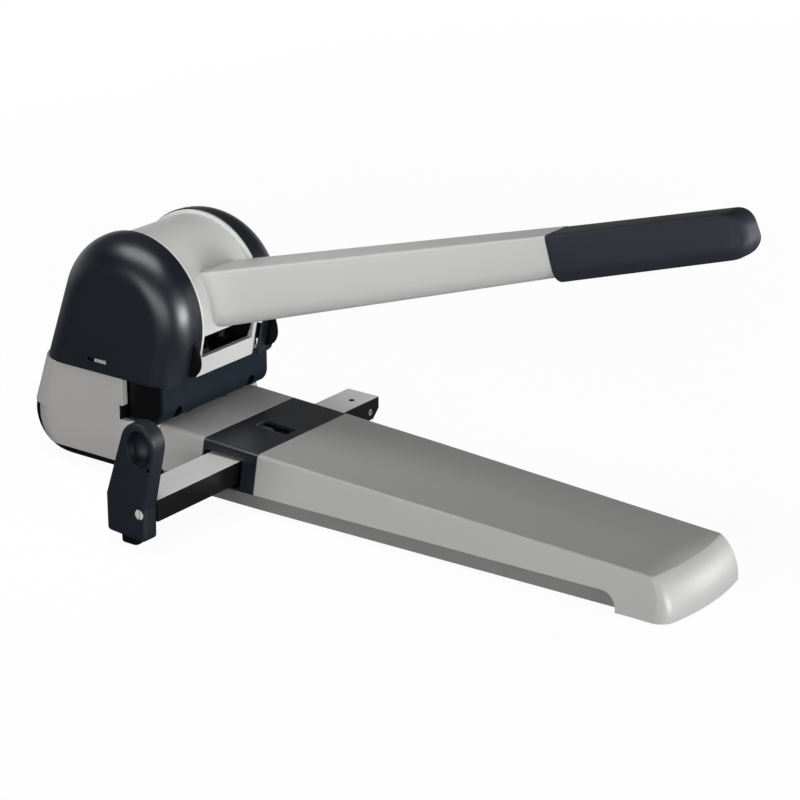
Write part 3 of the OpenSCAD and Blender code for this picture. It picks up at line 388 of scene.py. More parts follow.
# %% [markdown]
# ## Painted shade and reflections
# The inside of the drum and of the side plates is painted black as shade, and the bar's flanks are painted
# black as a dark reflection, where the near-white top is a painted bright one. Faces could get a second
# material; a mask from the normal or from the place does the same without a seam in the mesh.

# %% Painted shade and reflections
# Black for painted shade inside the drum and side plates, and for the painted dark reflection on the bar's
# flanks.
PAINTED_DARK = (0.006, 0.006, 0.007, 1)
LEVEL, UPRIGHT = 0.75, 0.55
DRUM_INSIDE, PLATE_INSIDE = 53.5, 55.0


def blacken(material, mask):
    """Goes over from the material's own colour to black where the mask grows to one."""
    tree = material.node_tree
    colour = tree.nodes["Principled BSDF"].inputs["Base Color"]
    feed(tree, colour, mix_colour(tree, mask, colour.links[0].from_socket, PAINTED_DARK))


def paint_dark_flank_reflection(material):
    """Faces that do not look up or down go black and lose their metal: a painted dark reflection on the
    flanks.
    """
    tree = material.node_tree
    metal = tree.nodes["Principled BSDF"].inputs["Metallic"]
    normal = tree.nodes.new("ShaderNodeNewGeometry").outputs["Normal"]
    upward = math_node(tree, "ABSOLUTE", node(tree, "SeparateXYZ", Vector=normal).outputs[2])
    flank = ramp(tree, upward, LEVEL, UPRIGHT, 0.0, 1.0)
    blacken(material, flank)
    feed(tree, metal, ramp(tree, flank, 0.0, 1.0, metal.default_value, 0.0))


def paint_shade_inside(material, radius):
    """Points nearer to the lever's axis than radius go black: painted shade on the inside."""
    tree = material.node_tree
    spot = tree.nodes.new("ShaderNodeTexCoord").outputs["Object"]
    axis = (0, -PIVOT_Y * MM, -PIVOT_Z * MM)
    from_axis = node(tree, "Mapping", Vector=spot, Location=axis, Scale=(0, 1, 1)).outputs[0]
    blacken(material, math_node(tree, "LESS_THAN", vector_value(tree, "LENGTH", from_axis), radius * MM))


paint_dark_flank_reflection(FINISHES["bar_painted_reflection"])
paint_shade_inside(FINISHES["silver_drum_painted_light_and_shade"], DRUM_INSIDE)
paint_shade_inside(FINISHES["silver_rim_painted_light_and_shade"], PLATE_INSIDE)
print("finishes:", sorted(FINISHES))

# %% [markdown]
# ## Finishes on the CAD pieces
# A CAD solid whose shape is right stays, and only gets its finish. The list says which is which.

# %% Dress the CAD nodes
WEARS = {
    "silver_sill_painted_shade": "base_pan",
    "silver_paint": "tongue_cover deck back_panel",
    "silver_rim_painted_light_and_shade": "side_plate_left side_plate_right",
    "silver_cast": "lever_arm stop_screw",
    "silver_drum_painted_light_and_shade": "lever_hub",
    "silver_house": "rear_housing",
    "dark_plastic": "slot_cover side_cover_left side_cover_right hold_down end_stop",
    "black_plastic": "base_shoe bar_rail bar_end_block chip_tray punch_plug_left punch_plug_right stop_foot",
    "grip_plastic": "lever_grip",
    "steel_painted_shade": "guide_posts post_nuts",
    "steel": "die_plate paper_stop tie_rods spring_left spring_right pan_screws plate_screws "
             "grip_pin arm_screws hub_key pinion_left pinion_right pinion_keys axle_rings ram_left "
             "ram_right bar_pin",
    "bright_steel": "die_left die_right pointer lever_axle punch_left punch_right",
    "bar_painted_reflection": "guide_bar",
    "brass": "axle_bushes rack_guide_left rack_guide_right post_bushes",
    "rubber": "nose_pads",
}
for finish_name, names in WEARS.items():
    for name in names.split():
        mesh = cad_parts[name].data
        mesh.materials.clear()
        mesh.materials.append(FINISHES[finish_name])
dressed = sum(len(names.split()) for names in WEARS.values())
print("dressed", dressed, "of", len(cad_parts))

# %% [markdown]
# ## Tools for surfaces
# Every new piece is a grid of points from a formula. The helpers turn a grid into faces, face the
# mesh outwards, give it a wall, cut openings, and round what is left sharp.

# %% Mesh helpers
MERGE, SLIVER = 2e-6, 1e-7
EASE_STEPS, EASE_ANGLE = 2, 40


def radians(*degrees):
    """Angles from the first to the second, in as many steps as the third says."""
    return np.radians(np.linspace(*degrees))


def full_turn(steps):
    return np.linspace(0, 2 * np.pi, steps, endpoint=False)


def quads(rows, cols, ring=False):
    """Faces of a grid of rows by cols points; ring joins the last column to the first."""
    i, j = np.meshgrid(np.arange(rows - 1), np.arange(cols if ring else cols - 1), indexing="ij")
    k = (j + 1) % cols
    return np.stack([i * cols + j, i * cols + k, (i + 1) * cols + k, (i + 1) * cols + j], -1).reshape(-1, 4)


def surface(name, points, faces, inside=None):
    """A mesh object from points in mm. Doubles are merged. Closed shells face outwards by
    themselves; an open one is turned so that it faces away from the point inside."""
    mesh = bpy.data.meshes.new(name)
    spots = (np.asarray(points).reshape(-1, 3) * MM).tolist()
    mesh.from_pydata(spots, [], [list(map(int, face)) for face in faces])
    work = bmesh.new()
    work.from_mesh(mesh)
    bmesh.ops.remove_doubles(work, verts=work.verts, dist=MERGE)
    bmesh.ops.dissolve_degenerate(work, edges=work.edges, dist=SLIVER)
    bmesh.ops.recalc_face_normals(work, faces=work.faces)
    if inside is not None:
        middle = Vector(inside) * MM
        facing = sum(f.calc_area() * f.normal.dot(f.calc_center_median() - middle) for f in work.faces)
        if facing < 0:
            bmesh.ops.reverse_faces(work, faces=work.faces)
    work.to_mesh(mesh)
    work.free()
    obj = bpy.data.objects.new(name, mesh)
    scene.collection.objects.link(obj)
    return obj


def capped(name, points):
    """A closed body from rings of points: a band between each two rings and a face on each end."""
    rows, cols = points.shape[:2]
    ends = [range(cols), range((rows - 1) * cols, rows * cols)]
    return surface(name, points, [*quads(rows, cols, ring=True), *ends])


def box(xs, ys, zs, name="cutter"):
    """A box between two places on each axis."""
    corner = np.array([[x, y, z] for x in sorted(xs) for y in ys for z in zs])
    sides = [(0, 1, 3, 2), (4, 6, 7, 5), (0, 4, 5, 1), (2, 3, 7, 6), (0, 2, 6, 4), (1, 5, 7, 3)]
    return surface(name, corner, sides)


def rod(at, along, radius, length, steps=48):
    """A cylinder of that radius and length from the point at, along axis 0, 1 or 2."""
    turn = full_turn(steps)
    ring = radius * np.stack([np.zeros(steps), np.cos(turn), np.sin(turn)], -1)
    ends = np.stack([ring, ring + [length, 0, 0]])
    return capped("cutter", np.roll(ends, along, axis=-1) + np.asarray(at))


def ball(centre, radii, steps=48):
    """An ellipsoid: rings from pole to pole."""
    rise, turn = radians(0, 180, steps // 2)[:, None], full_turn(steps)
    shape = np.stack([np.cos(rise) + 0 * turn, np.sin(rise) * np.cos(turn), np.sin(rise) * np.sin(turn)], -1)
    return surface("cutter", shape * radii + centre, quads(steps // 2, steps, ring=True))


def settle(obj):
    """Puts what the modifiers make into the mesh itself."""
    graph = bpy.context.evaluated_depsgraph_get()
    made = bpy.data.meshes.new_from_object(obj.evaluated_get(graph))
    obj.modifiers.clear()
    obj.data = made


def wall(obj, thickness):
    """Gives a skin a wall of that thickness (mm) on its inner side."""
    shell = obj.modifiers.new("wall", "SOLIDIFY")
    shell.thickness, shell.offset = thickness * MM, -1
    settle(obj)


def carve(obj, *cutters):
    """Takes the closed cutters out of a closed piece."""
    for cutter in cutters:
        cut = obj.modifiers.new("cut", "BOOLEAN")
        cut.operation, cut.solver, cut.object = "DIFFERENCE", "EXACT", cutter
        settle(obj)
        bpy.data.objects.remove(cutter)


def ease(obj, width):
    """Rounds the sharp edges of a piece by width (mm)."""
    rounding = obj.modifiers.new("ease", "BEVEL")
    rounding.width, rounding.segments = width * MM, EASE_STEPS
    rounding.limit_method, rounding.angle_limit = "ANGLE", math.radians(EASE_ANGLE)
    settle(obj)


def place(obj, body, slot, stands_for=(), smooth=35, wears=None):
    """Gives a piece its finish, smooth shading up to an angle, and the body that it rides on."""
    obj.data.polygons.foreach_set("use_smooth", np.ones(len(obj.data.polygons), bool))
    obj.data.set_sharp_from_angle(angle=math.radians(smooth))
    obj.data.materials.clear()
    obj.data.materials.append(FINISHES[wears or slot])
    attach(obj, body)
    if stands_for:
        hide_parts(*stands_for)
    print(obj.name, len(obj.data.polygons), "faces")


print("a grid of 3 by 4 points has", len(quads(3, 4)), "faces")

# %% [markdown]
# ## Tongue
# The tongue is a long pressing in front of the slot cover. It falls and draws in, and ends in a nose
# whose front leans and bows. It could be a box with rounded edges, but the long edge grows crisper to
# the front, so each cross-section is worked out: a leaning wall, an arc that touches it, and the top.

# %% Section of the base
DECK_Z, DECK_HALF, DECK_END = 43.8, 51.6, -19.0
SLOPE, DRAFT = math.tan(math.radians(2.11)), math.tan(math.radians(10.5))
REACH, TAPER_Y, TAPER = 424.0, -87.1, 8.7
EDGE_R, CRISP_R, EDGE_RUN = 4.0, 2.0, 90.0
SKIRT_Z, FOOT_Z, BASE_WALL = 13.0, 1.0, 3.0
SLOT_FRONT, SEAM = -99.1, 0.15
WALL_STEPS, ARC_STEPS = 17, 9


def deck_top(y):
    """Height of the top: level on the deck, then falling along the tongue."""
    return DECK_Z + np.minimum(0, y - DECK_END) * SLOPE


def deck_half(y):
    """Half width of the top: even on the deck, then drawing in along the tongue."""
    return DECK_HALF + np.minimum(0, y - TAPER_Y) / (TAPER_Y + REACH) * TAPER


def side_half(y, z):
    """Half width of the leaning side at a height."""
    return deck_half(y) + (deck_top(y) - z) * DRAFT


def side_rim(y, low):
    """The right side along the rows y: a wall that starts at the height low, then the top edge.

    The edge is an arc under the top, and the wall is the line from the foot that touches the arc.
    Rows follow y, columns climb from the wall's start to the top.
    """
    radius = EDGE_R + (CRISP_R - EDGE_R) * np.clip((TAPER_Y - y) / EDGE_RUN, 0, 1)
    centre_x, centre_z = deck_half(y) - radius, deck_top(y) - radius
    reach, down = side_half(y, FOOT_Z) - centre_x, FOOT_Z - centre_z
    touch = np.arctan2(down, reach) + np.arccos(radius / np.hypot(reach, down))
    bend = touch[:, None] + (np.pi / 2 - touch[:, None]) * np.linspace(0, 1, ARC_STEPS)
    arc_x, arc_z = radius[:, None] * np.cos(bend), radius[:, None] * np.sin(bend)
    start = (low - FOOT_Z) / (arc_z[:, 0] - down)
    climb = start[:, None] + (1 - start[:, None]) * np.linspace(0, 1, WALL_STEPS)[:-1]
    wall_x = reach[:, None] + (arc_x[:, :1] - reach[:, None]) * climb
    wall_z = down[:, None] + (arc_z[:, :1] - down[:, None]) * climb
    x = np.concatenate([wall_x, arc_x], 1) + centre_x[:, None]
    z = np.concatenate([wall_z, arc_z], 1) + centre_z[:, None]
    return np.stack([x, np.broadcast_to(y[:, None], x.shape), z], -1)


def mirrored(points):
    return points * [-1, 1, 1]


print("top at the front end:", round(deck_top(-REACH), 1), "high,", round(2 * deck_half(-REACH), 1), "wide")

# %% Tongue cover
FOOT_STEP_Y, FOOT_STEP_L, FOOT_STEP_GAP = -374.0, 11.5, 4.0
NOSE_BACK, NOSE_Y, NOSE_R, NOSE_BOW = -398.0, -408.8, 35.0, 4.0
NOSE_LEAD = math.radians(36)
NOSE_TOP_CORNER, NOSE_LOW_CORNER, CORNER_TURN = 3.0, 12.0, 78
BACK_STEPS, FOOT_STEPS, CORNER_STEPS, FRONT_STEPS = 40, 9, 16, 13
TONGUE_INSIDE = (0, -250, 10)


def nose_ahead(z, top):
    """How far the front stands ahead of its top edge: an arc that starts steep and ends upright."""
    middle = top - NOSE_R * math.cos(NOSE_LEAD)
    return np.sqrt(NOSE_R ** 2 - np.maximum(z - middle, 0) ** 2) - NOSE_R * math.sin(NOSE_LEAD)


sweep = radians(0, 90, FOOT_STEPS)
foot_y = FOOT_STEP_Y - FOOT_STEP_L * np.sin(sweep)
foot_low = FOOT_Z + (SKIRT_Z - FOOT_Z) * np.cos(sweep)
back_y = np.linspace(SLOT_FRONT - SEAM, FOOT_STEP_Y + FOOT_STEP_GAP, BACK_STEPS)
row_y = np.concatenate([back_y, foot_y, [NOSE_BACK]])
row_low = np.concatenate([np.full(BACK_STEPS, SKIRT_Z), foot_low, [FOOT_Z]])
side = side_rim(row_y, row_low)

side_x, side_z = side[-1, :, 0], side[-1, :, 2]
nose_top = side_z[-1]
depth = (nose_top - side_z) / (nose_top - FOOT_Z)
corner_r = NOSE_TOP_CORNER + (NOSE_LOW_CORNER - NOSE_TOP_CORNER) * depth
turn = radians(0, CORNER_TURN, CORNER_STEPS)[:, None]
corner_x = side_x - corner_r * (1 - np.cos(turn))
corner_y = NOSE_Y - nose_ahead(side_z, nose_top) + corner_r * (1 - np.sin(turn))
share = np.linspace(1, 0, FRONT_STEPS)[1:, None]
nose_x = np.concatenate([corner_x, corner_x[-1] * share])
nose_y = np.concatenate([corner_y, corner_y[-1] - NOSE_BOW * (1 - share ** 2)])
fall = (deck_top(nose_y[:, -1:]) - FOOT_Z) / (nose_top - FOOT_Z)
nose = np.stack([nose_x, nose_y, FOOT_Z + (side_z - FOOT_Z) * fall], -1)

half_rim = np.concatenate([side, nose])
around = np.concatenate([half_rim, mirrored(half_rim[-2::-1])])
nose_edge = np.concatenate([nose[:, -1], mirrored(nose[-2::-1, -1])])[::-1]
across = nose_edge[:, :1] / side_x[-1]
top_rows = side[:, -1:] * [0, 1, 1] + side[:, -1:, :1] * across * [1, 0, 0]
top_rows = np.concatenate([top_rows, nose_edge[None]])
rim_points = around.reshape(-1, 3)
points = np.concatenate([rim_points, top_rows.reshape(-1, 3)])
faces = np.concatenate([quads(*around.shape[:2]), quads(*top_rows.shape[:2]) + len(rim_points)])
tongue = surface("tongue", points, faces, inside=TONGUE_INSIDE)
wall(tongue, BASE_WALL)
place(tongue, "base", "silver_paint", ["tongue_cover"])

# %% [markdown]
# ## Side covers
# Each dark cover is a moulded dome: round over the lever axle, straight at the front and back, with a
# wide rounded outer edge. A revolved dome would have no straight sides, so rings are used: the same
# outline, drawn in step by step while it moves outwards, gives the rounding and then the flat face.

# %% Side cover rings
HEAD_R, FRONT_R, BACK_R, FLAT_R = 58.8, 20.0, 28.0, 6.0
FRONT_LEAN, BACK_LEAN = math.radians(12.1), math.radians(20.0)
COVER_LOW, COVER_IN, COVER_MID, COVER_OUT, COVER_WALL = 75.5, 34.1, 45.0, 63.0, 2.5
LINE_STEPS, OVER_STEPS, ROUND_STEPS, FLAT_STEPS = 8, 49, 17, 8
ARC = np.linspace(np.pi + FRONT_LEAN, BACK_LEAN, OVER_STEPS)


def head_outline(r):
    """Points (Y, Z) from the front's low end over the top to the back's low end.

    The front and back lines touch a circle about the lever axis where its normal leans as they do.
    r is that circle's radius for each row and each point of the outline.
    """
    share = np.arange(LINE_STEPS) / LINE_STEPS
    drop = COVER_LOW - PIVOT_Z
    front, arc, back = np.split(r, [LINE_STEPS, r.shape[1] - LINE_STEPS], axis=1)

    def line(radius, angle, lean, way, along):
        low_y = PIVOT_Y + way * (radius - way * drop * math.sin(lean)) / math.cos(lean)
        low = np.stack([low_y, np.full_like(radius, COVER_LOW)], -1)
        touch = np.stack([PIVOT_Y + radius * math.cos(angle), PIVOT_Z + radius * math.sin(angle)], -1)
        return low + (touch - low) * along[:, None]

    over = np.stack([PIVOT_Y + arc * np.cos(ARC), PIVOT_Z + arc * np.sin(ARC)], -1)
    return np.concatenate([line(front, ARC[0], FRONT_LEAN, -1, share), over,
                           line(back, ARC[-1], BACK_LEAN, 1, share[::-1])], 1)


def dome(side_sign):
    """Points and faces of a cover: a straight band, a quarter round, then the flat face drawn in.

    The round's radius grows smoothly from the front over the top to the back.
    """
    bend = radians(0, 90, ROUND_STEPS)[:, None]
    climb = np.linspace(0, 1, len(ARC))
    grow = np.concatenate([np.zeros(LINE_STEPS), climb ** 2 * (3 - 2 * climb), np.ones(LINE_STEPS)])
    edge = FRONT_R + (BACK_R - FRONT_R) * grow
    flat = HEAD_R - edge
    crown = np.linspace(0, 1, FLAT_STEPS + 1)[1:, None]
    r = np.concatenate([np.full((1, len(edge)), HEAD_R), HEAD_R - edge * (1 - np.cos(bend)),
                        flat + (FLAT_R - flat) * crown])
    x = np.concatenate([np.full((1, len(edge)), COVER_IN), COVER_OUT - edge * (1 - np.sin(bend)),
                        np.full((FLAT_STEPS, len(edge)), COVER_OUT)])
    rows, cols = r.shape
    points = np.concatenate([side_sign * x[..., None], head_outline(r)], -1)
    return points, [*quads(rows, cols), range((rows - 1) * cols, rows * cols)]


print("points of a cover:", dome(1)[0].shape[:2])

# %% Side covers, fins and latches
SNAP_X, SNAP_Y, SNAP_Z = np.array([COVER_OUT - COVER_WALL - 1, COVER_OUT + 2]), (26.0, 44.0), (83.0, 86.0)
LATCH_X, LATCH_Y, LATCH_Z = np.array([58.5, 62.2]), (26.6, 38.0), (82.0, 85.2)
FIN_X, FIN_T, FIN_REACH, FIN_LOW, FIN_H = 42.0, 2.6, 10.2, 80.0, 29.5
FIN_BELLY, FIN_FULLNESS, FIN_SUNK, FIN_ROOT, FIN_BLUNT = 0.65, 0.8, 1.2, 0.8, 3
FIN_ROWS, FIN_COLS = 33, 24
SMALL_EDGE = 0.3


def fin(side_sign):
    """A half teardrop: its reach grows from the round low end and runs out in a point above.

    Each level is an ellipse across the fin, and half of it lies inside the cover's wall.
    """
    t = np.linspace(0.0, 1.0, FIN_ROWS)[:, None]
    turn = full_turn(FIN_COLS)
    swell = np.sin(np.pi * t ** FIN_BELLY)
    reach = FIN_REACH * swell ** FIN_FULLNESS
    z = FIN_LOW + FIN_H * t
    foot = PIVOT_Y - (HEAD_R - FIN_SUNK + (z - PIVOT_Z) * math.sin(FRONT_LEAN)) / math.cos(FRONT_LEAN)
    thick = FIN_T / 2 * np.sqrt(np.clip(swell * FIN_BLUNT, 0, 1))
    out = np.where(np.sin(turn) > 0, reach, FIN_ROOT) * np.sin(turn)
    return np.stack([side_sign * FIN_X + thick * np.cos(turn), foot - out, z + 0 * out], -1)


for label, sign in SIDES:
    cover = surface("cover_" + label, *dome(sign), inside=(sign * COVER_MID, PIVOT_Y, PIVOT_Z))
    wall(cover, COVER_WALL)
    carve(cover, box(sign * SNAP_X, SNAP_Y, SNAP_Z))
    place(cover, "base", "dark_plastic", ["side_cover_" + label])
    blade = fin(sign)
    # The fins are black: painted shade on their faces, which look away from the lamps.
    place(surface("fin_" + label, blade, quads(*blade.shape[:2], ring=True)), "base", "black_plastic")
    latch = box(sign * LATCH_X, LATCH_Y, LATCH_Z, "latch_" + label)
    ease(latch, SMALL_EDGE)
    place(latch, "base", "silver_paint")

# %% [markdown]
# ## Rear housing and shoe
# The silver housing carries the head. Its back leans, its rear corners are wide, and below the top of
# the chip tray it steps in and curves under to the black shoe. Level outlines are stacked: each is
# the same outline with its back moved, so the flanks stay flat down to the shoe.

# %% Rear housing
HOUSE_HALF, HOUSE_R, HOUSE_WALL, SHOE_H = 62.0, 24.0, 5.5, 12.0
HOUSE_LEAN = math.tan(math.radians(19.2))
HOUSE_BACK = PIVOT_Y + (HEAD_R - (COVER_LOW - PIVOT_Z) * math.sin(BACK_LEAN)) / math.cos(BACK_LEAN)
HOUSE_INSIDE = (0, 50, 40)
THROAT_Y, CHEEK_Y, THROAT_Z = 13.0, -13.0, 44.2
CHEEK_TOP, CHEEK_LOW, CHEEK_COLS = 54.6, 60.5, 4
TRAY_HALF, TRAY_TOP, TRAY_STEP = 50.4, 38.9, 3.3
TURN_Z, TURN_R = 29.5, 24.0
LEVEL_GAP, MIDDLE_LEVEL = 0.05, 34.0
TRAY_X, TRAY_Y, TRAY_Z = (-TRAY_HALF, TRAY_HALF), (60, 140), (-5, TRAY_TOP)
NOTCH_X, NOTCH_Y, NOTCH_Z = np.array([50, 70]), (THROAT_Y - 2, 16.0), (THROAT_Z + 0.1, 55.0)
SHADE_PLATE_X, SHADE_PLATE_Y = np.array([52.0, 61.8]), (15.1, 16.9)


def house_back(z, stepped):
    """The back leans in a line to the tray's top; where stepped, it stands in and turns under."""
    under = TURN_R - np.sqrt(TURN_R ** 2 - np.clip(TURN_Z - z, 0, TURN_R) ** 2)
    leaning = HOUSE_BACK + (COVER_LOW - np.maximum(z, TRAY_TOP)) * HOUSE_LEAN
    return leaning - np.where(stepped, TRAY_STEP + under, 0)


def house_levels(z, stepped, inset, side_steps=9, corner_steps=13, back_steps=6):
    """Right half of the level outlines, each drawn in by its inset: from the front end of the cheek,
    which lies beside the deck, to the middle of the back."""
    z, inset = z[:, None], inset[:, None]
    half, radius = HOUSE_HALF - inset, HOUSE_R - inset
    xc, yc = HOUSE_HALF - HOUSE_R, house_back(z, stepped[:, None]) - HOUSE_R
    cheek_half = CHEEK_LOW + (CHEEK_TOP - CHEEK_LOW) * np.maximum(z - SHOE_H, 0) / (DECK_Z - SHOE_H) - inset
    share = np.linspace(0, 1, CHEEK_COLS + 1)[:-1]
    cheek_x = cheek_half + (half - cheek_half) * share
    cheek = np.stack([cheek_x, CHEEK_Y + (THROAT_Y - CHEEK_Y) * share + 0 * half], -1)
    share = np.linspace(0, 1, side_steps)[:-1]
    flank = np.stack([half + 0 * share, THROAT_Y + (yc - THROAT_Y) * share], -1)
    turn = radians(0, 90, corner_steps)
    corner = np.stack([xc + radius * np.cos(turn), yc + radius * np.sin(turn)], -1)
    share = np.linspace(1, 0, back_steps)[1:]
    back = np.stack([xc * share + 0 * yc, yc + radius + 0 * share], -1)
    plan = np.concatenate([cheek, flank, corner, back], 1)
    return np.concatenate([plan, np.broadcast_to(z[..., None], (*plan.shape[:2], 1))], -1)


def both_sides(right):
    return np.concatenate([right, mirrored(right[:, -2::-1])], 1)


low_z = np.concatenate([np.linspace(SHOE_H + LEVEL_GAP, TURN_Z, 11), [MIDDLE_LEVEL, TRAY_TOP]])
high_z = np.concatenate([[TRAY_TOP + LEVEL_GAP, THROAT_Z], np.linspace(THROAT_Z, COVER_LOW, 9)[1:]])
levels = np.concatenate([low_z, high_z])
full = both_sides(house_levels(levels, np.arange(len(levels)) < len(low_z), np.zeros(len(levels))))
rows, cols = full.shape[:2]
faces = quads(rows, cols)
row_of, col_of = np.divmod(faces[:, 0], cols)
throat = (levels[row_of] >= THROAT_Z) & ((col_of < CHEEK_COLS) | (col_of >= cols - 1 - CHEEK_COLS))
housing = surface("housing", full, faces[~throat], inside=HOUSE_INSIDE)
wall(housing, HOUSE_WALL)
carve(housing, box(TRAY_X, TRAY_Y, TRAY_Z), *(box(sign * NOTCH_X, NOTCH_Y, NOTCH_Z) for _, sign in SIDES))
place(housing, "base", "silver_cast", ["rear_housing"], wears="silver_house")
for label, sign in SIDES:
    # Black plates behind the throat notches: painted shade for the dark inside of the housing.
    pad = box(sign * SHADE_PLATE_X, SHADE_PLATE_Y, NOTCH_Z, "throat_shade_plate_" + label)
    ease(pad, SMALL_EDGE)
    place(pad, "base", "black_plastic")

# %% Shoe
SHOE_LOW, SHOE_R, SHOE_IN = 5.6, 6.0, 0.6
FEET_IN, FEET_Z = 23.5, 0.3
POCKET_Y, POCKET_Z = (-9.4, 140), (3.2, 60)

bend = radians(90, 0, 9)
shoe_z = np.concatenate([[FEET_Z, SHOE_LOW], SHOE_LOW + SHOE_R * (1 - np.sin(bend)), [SHOE_H]])
shoe_in = np.concatenate([[FEET_IN, FEET_IN], SHOE_IN + SHOE_R * (1 - np.cos(bend)), [SHOE_IN]])
shoe = capped("shoe", both_sides(house_levels(shoe_z, np.ones(len(shoe_z), bool), shoe_in)))
carve(shoe, box(TRAY_X, POCKET_Y, POCKET_Z))
place(shoe, "base", "black_plastic", ["base_shoe"])

# %% [markdown]
# ## Hold-down
# The hold-down presses the sheets flat before the punches reach them. Its front is one bent sheet: a
# straight wall that rolls under into the lead-in for the paper. The profile is carried across, given
# its wall, and cut for the punches and for the sight slits, which are leaf shaped.

# %% Hold-down
HOLD_FRONT, HOLD_BACK, HOLD_LOW, HOLD_TOP, HOLD_WALL = -20.8, 11.4, 44.0, 72.0, 2.3
LIP_R, LIP_HALF, LIP_COLS = 12.5, 57.1, 25
WALL_ROWS, ROLL_ROWS, SOLE_ROWS = 5, 15, 4
END_HALF, END_INSET = 55.5, 2.0
PUNCH_X, PUNCH_HOLE, POST_HOLE = 40.0, 3.3, 6.2
POST_X, POST_Y = 20.0, -8.0
HOLE_LOW, HOLE_L = 40.0, 40.0
SLIT_AT, SLIT_SIZE = (-15.0, 49.2), np.array([4.4, 11.3, 7.6])
LIP_INSIDE = (0, 5, 62)


def lip_path(inset=0.0):
    """The profile (Y, Z) from the top of the wall, round the lip, to the back of the sole."""
    r, front, low = LIP_R - inset, HOLD_FRONT + inset, HOLD_LOW + inset
    bend = radians(180, 270, ROLL_ROWS)
    roll = np.stack([front + r + r * np.cos(bend), low + r + r * np.sin(bend)], -1)
    upright = np.stack([np.full(WALL_ROWS, front), np.linspace(HOLD_TOP, low + r, WALL_ROWS + 1)[:-1]], -1)
    sole = np.stack([np.linspace(front + r, HOLD_BACK, SOLE_ROWS + 1)[1:], np.full(SOLE_ROWS, low)], -1)
    return np.concatenate([upright, roll, sole])


def swept_across(profile, x):
    """The profile repeated at each X; rows follow the profile."""
    points = np.empty((len(profile), len(x), 3))
    points[..., 0], points[..., 1:] = x, profile[:, None]
    return points


points = swept_across(lip_path(), np.linspace(-LIP_HALF, LIP_HALF, LIP_COLS))
lip = surface("hold_down_lip", points, quads(*points.shape[:2]), inside=LIP_INSIDE)
wall(lip, HOLD_WALL)
for _, sign in SIDES:
    carve(lip, rod((sign * PUNCH_X, 0, HOLE_LOW), 2, PUNCH_HOLE, HOLE_L),
          rod((sign * POST_X, POST_Y, HOLE_LOW), 2, POST_HOLE, HOLE_L),
          ball(np.array([sign * PUNCH_X, *SLIT_AT]), SLIT_SIZE))
place(lip, "hold_down", "dark_plastic", ["hold_down"], wears="lip_plastic")
# The end plates are black: painted shade inside the lip's roll at each end.
profile = np.concatenate([lip_path(END_INSET), [[HOLD_BACK, HOLD_TOP]]])
for label, sign in SIDES:
    points = swept_across(profile, sign * np.array([END_HALF - HOLD_WALL, END_HALF]))
    end = capped("hold_down_end_" + label, points.transpose(1, 0, 2))
    place(end, "hold_down", "dark_plastic", wears="black_plastic")

# %% [markdown]
# ## Lever arm and grip
# The arm is a long casting with a crisp top edge and a soft low edge; it thins towards the grip. Both
# are lofts: one rounded section whose size changes along the lever. The root of the arm is trimmed
# to the drum by starting each line where it leaves the drum's circle.

# %% Arm
REST = math.radians(16.45)
DRUM_R, ROOT_SUNK, ARM_END, ARM_DROP, ARM_ROWS = 55.5, 0.2, 342.0, 1.55, 26
ROOT_W, END_W, ROOT_H, END_H = 39.4, 29.0, 41.5, 28.8
ARM_TOP_R, ARM_LOW_ROOT, ARM_LOW_END = 2.2, 12.0, 9.5
TANG_R, TANG_L, TANG_TIP, TANG_BEVEL, GRIP_DROP = 9.0, 112.0, 0.9, 1.0, 3.5


def section(width, height, top_r, low_r, steps=8):
    """Closed loops (x, z) of a box with round corners; rows follow the arrays."""
    turn = radians(0, 90, steps)
    width, height, top_r, low_r = (v[:, None] for v in (width, height, top_r, low_r))

    def corner(sx, sz, r, start):
        a = turn + start
        return np.stack([sx * (width / 2 - r) + r * np.cos(a), sz * (height / 2 - r) + r * np.sin(a)], -1)

    return np.concatenate([corner(1, 1, top_r, 0), corner(-1, 1, top_r, np.pi / 2),
                           corner(-1, -1, low_r, np.pi), corner(1, -1, low_r, 1.5 * np.pi)], 1)


def on_lever(x, u, v):
    """Points of the lever: u along it from the axis, v across it, upwards."""
    return np.stack([x, PIVOT_Y - u * math.cos(REST) + v * math.sin(REST),
                     PIVOT_Z + u * math.sin(REST) + v * math.cos(REST)], -1)


share = np.linspace(0, 1, ARM_ROWS)
loops = section(ROOT_W + (END_W - ROOT_W) * share, ROOT_H + (END_H - ROOT_H) * share,
                np.full(ARM_ROWS, ARM_TOP_R), ARM_LOW_ROOT + (ARM_LOW_END - ARM_LOW_ROOT) * share)
x, v = loops[..., 0], loops[..., 1] - ARM_DROP
root = np.sqrt((DRUM_R - ROOT_SUNK) ** 2 - v[0] ** 2)
u = root + (ARM_END - root) * share[:, None]
turn = np.arctan2(loops[-1, :, 1], loops[-1, :, 0])
tang_r = TANG_R * np.array([[1.0], [1.0], [TANG_TIP]])
tang_u = np.array([[ARM_END], [ARM_END + TANG_L - TANG_BEVEL], [ARM_END + TANG_L]]) + 0 * turn
points = on_lever(np.concatenate([x, tang_r * np.cos(turn)]), np.concatenate([u, tang_u]),
                  np.concatenate([v, tang_r * np.sin(turn) - GRIP_DROP]))
place(capped("arm", points), "lever", "silver_cast", ["lever_arm"])

# %% Grip
GRIP_L, GRIP_W, GRIP_H = 141.0, 30.0, 32.0
GRIP_TOP_R, GRIP_LOW_R, GRIP_LIP, GRIP_EVEN, GRIP_ROWS = 3.0, 10.5, 0.6, 4.0, 24
TOP_FALL, LOW_RISE, TOP_NARROW = 1.5, 1.2, 0.3
TIP_L, TIP_SIDE, TIP_TOP, TIP_LOW, TIP_R = 14.0, 8.5, 11.5, 11.5, 1.5

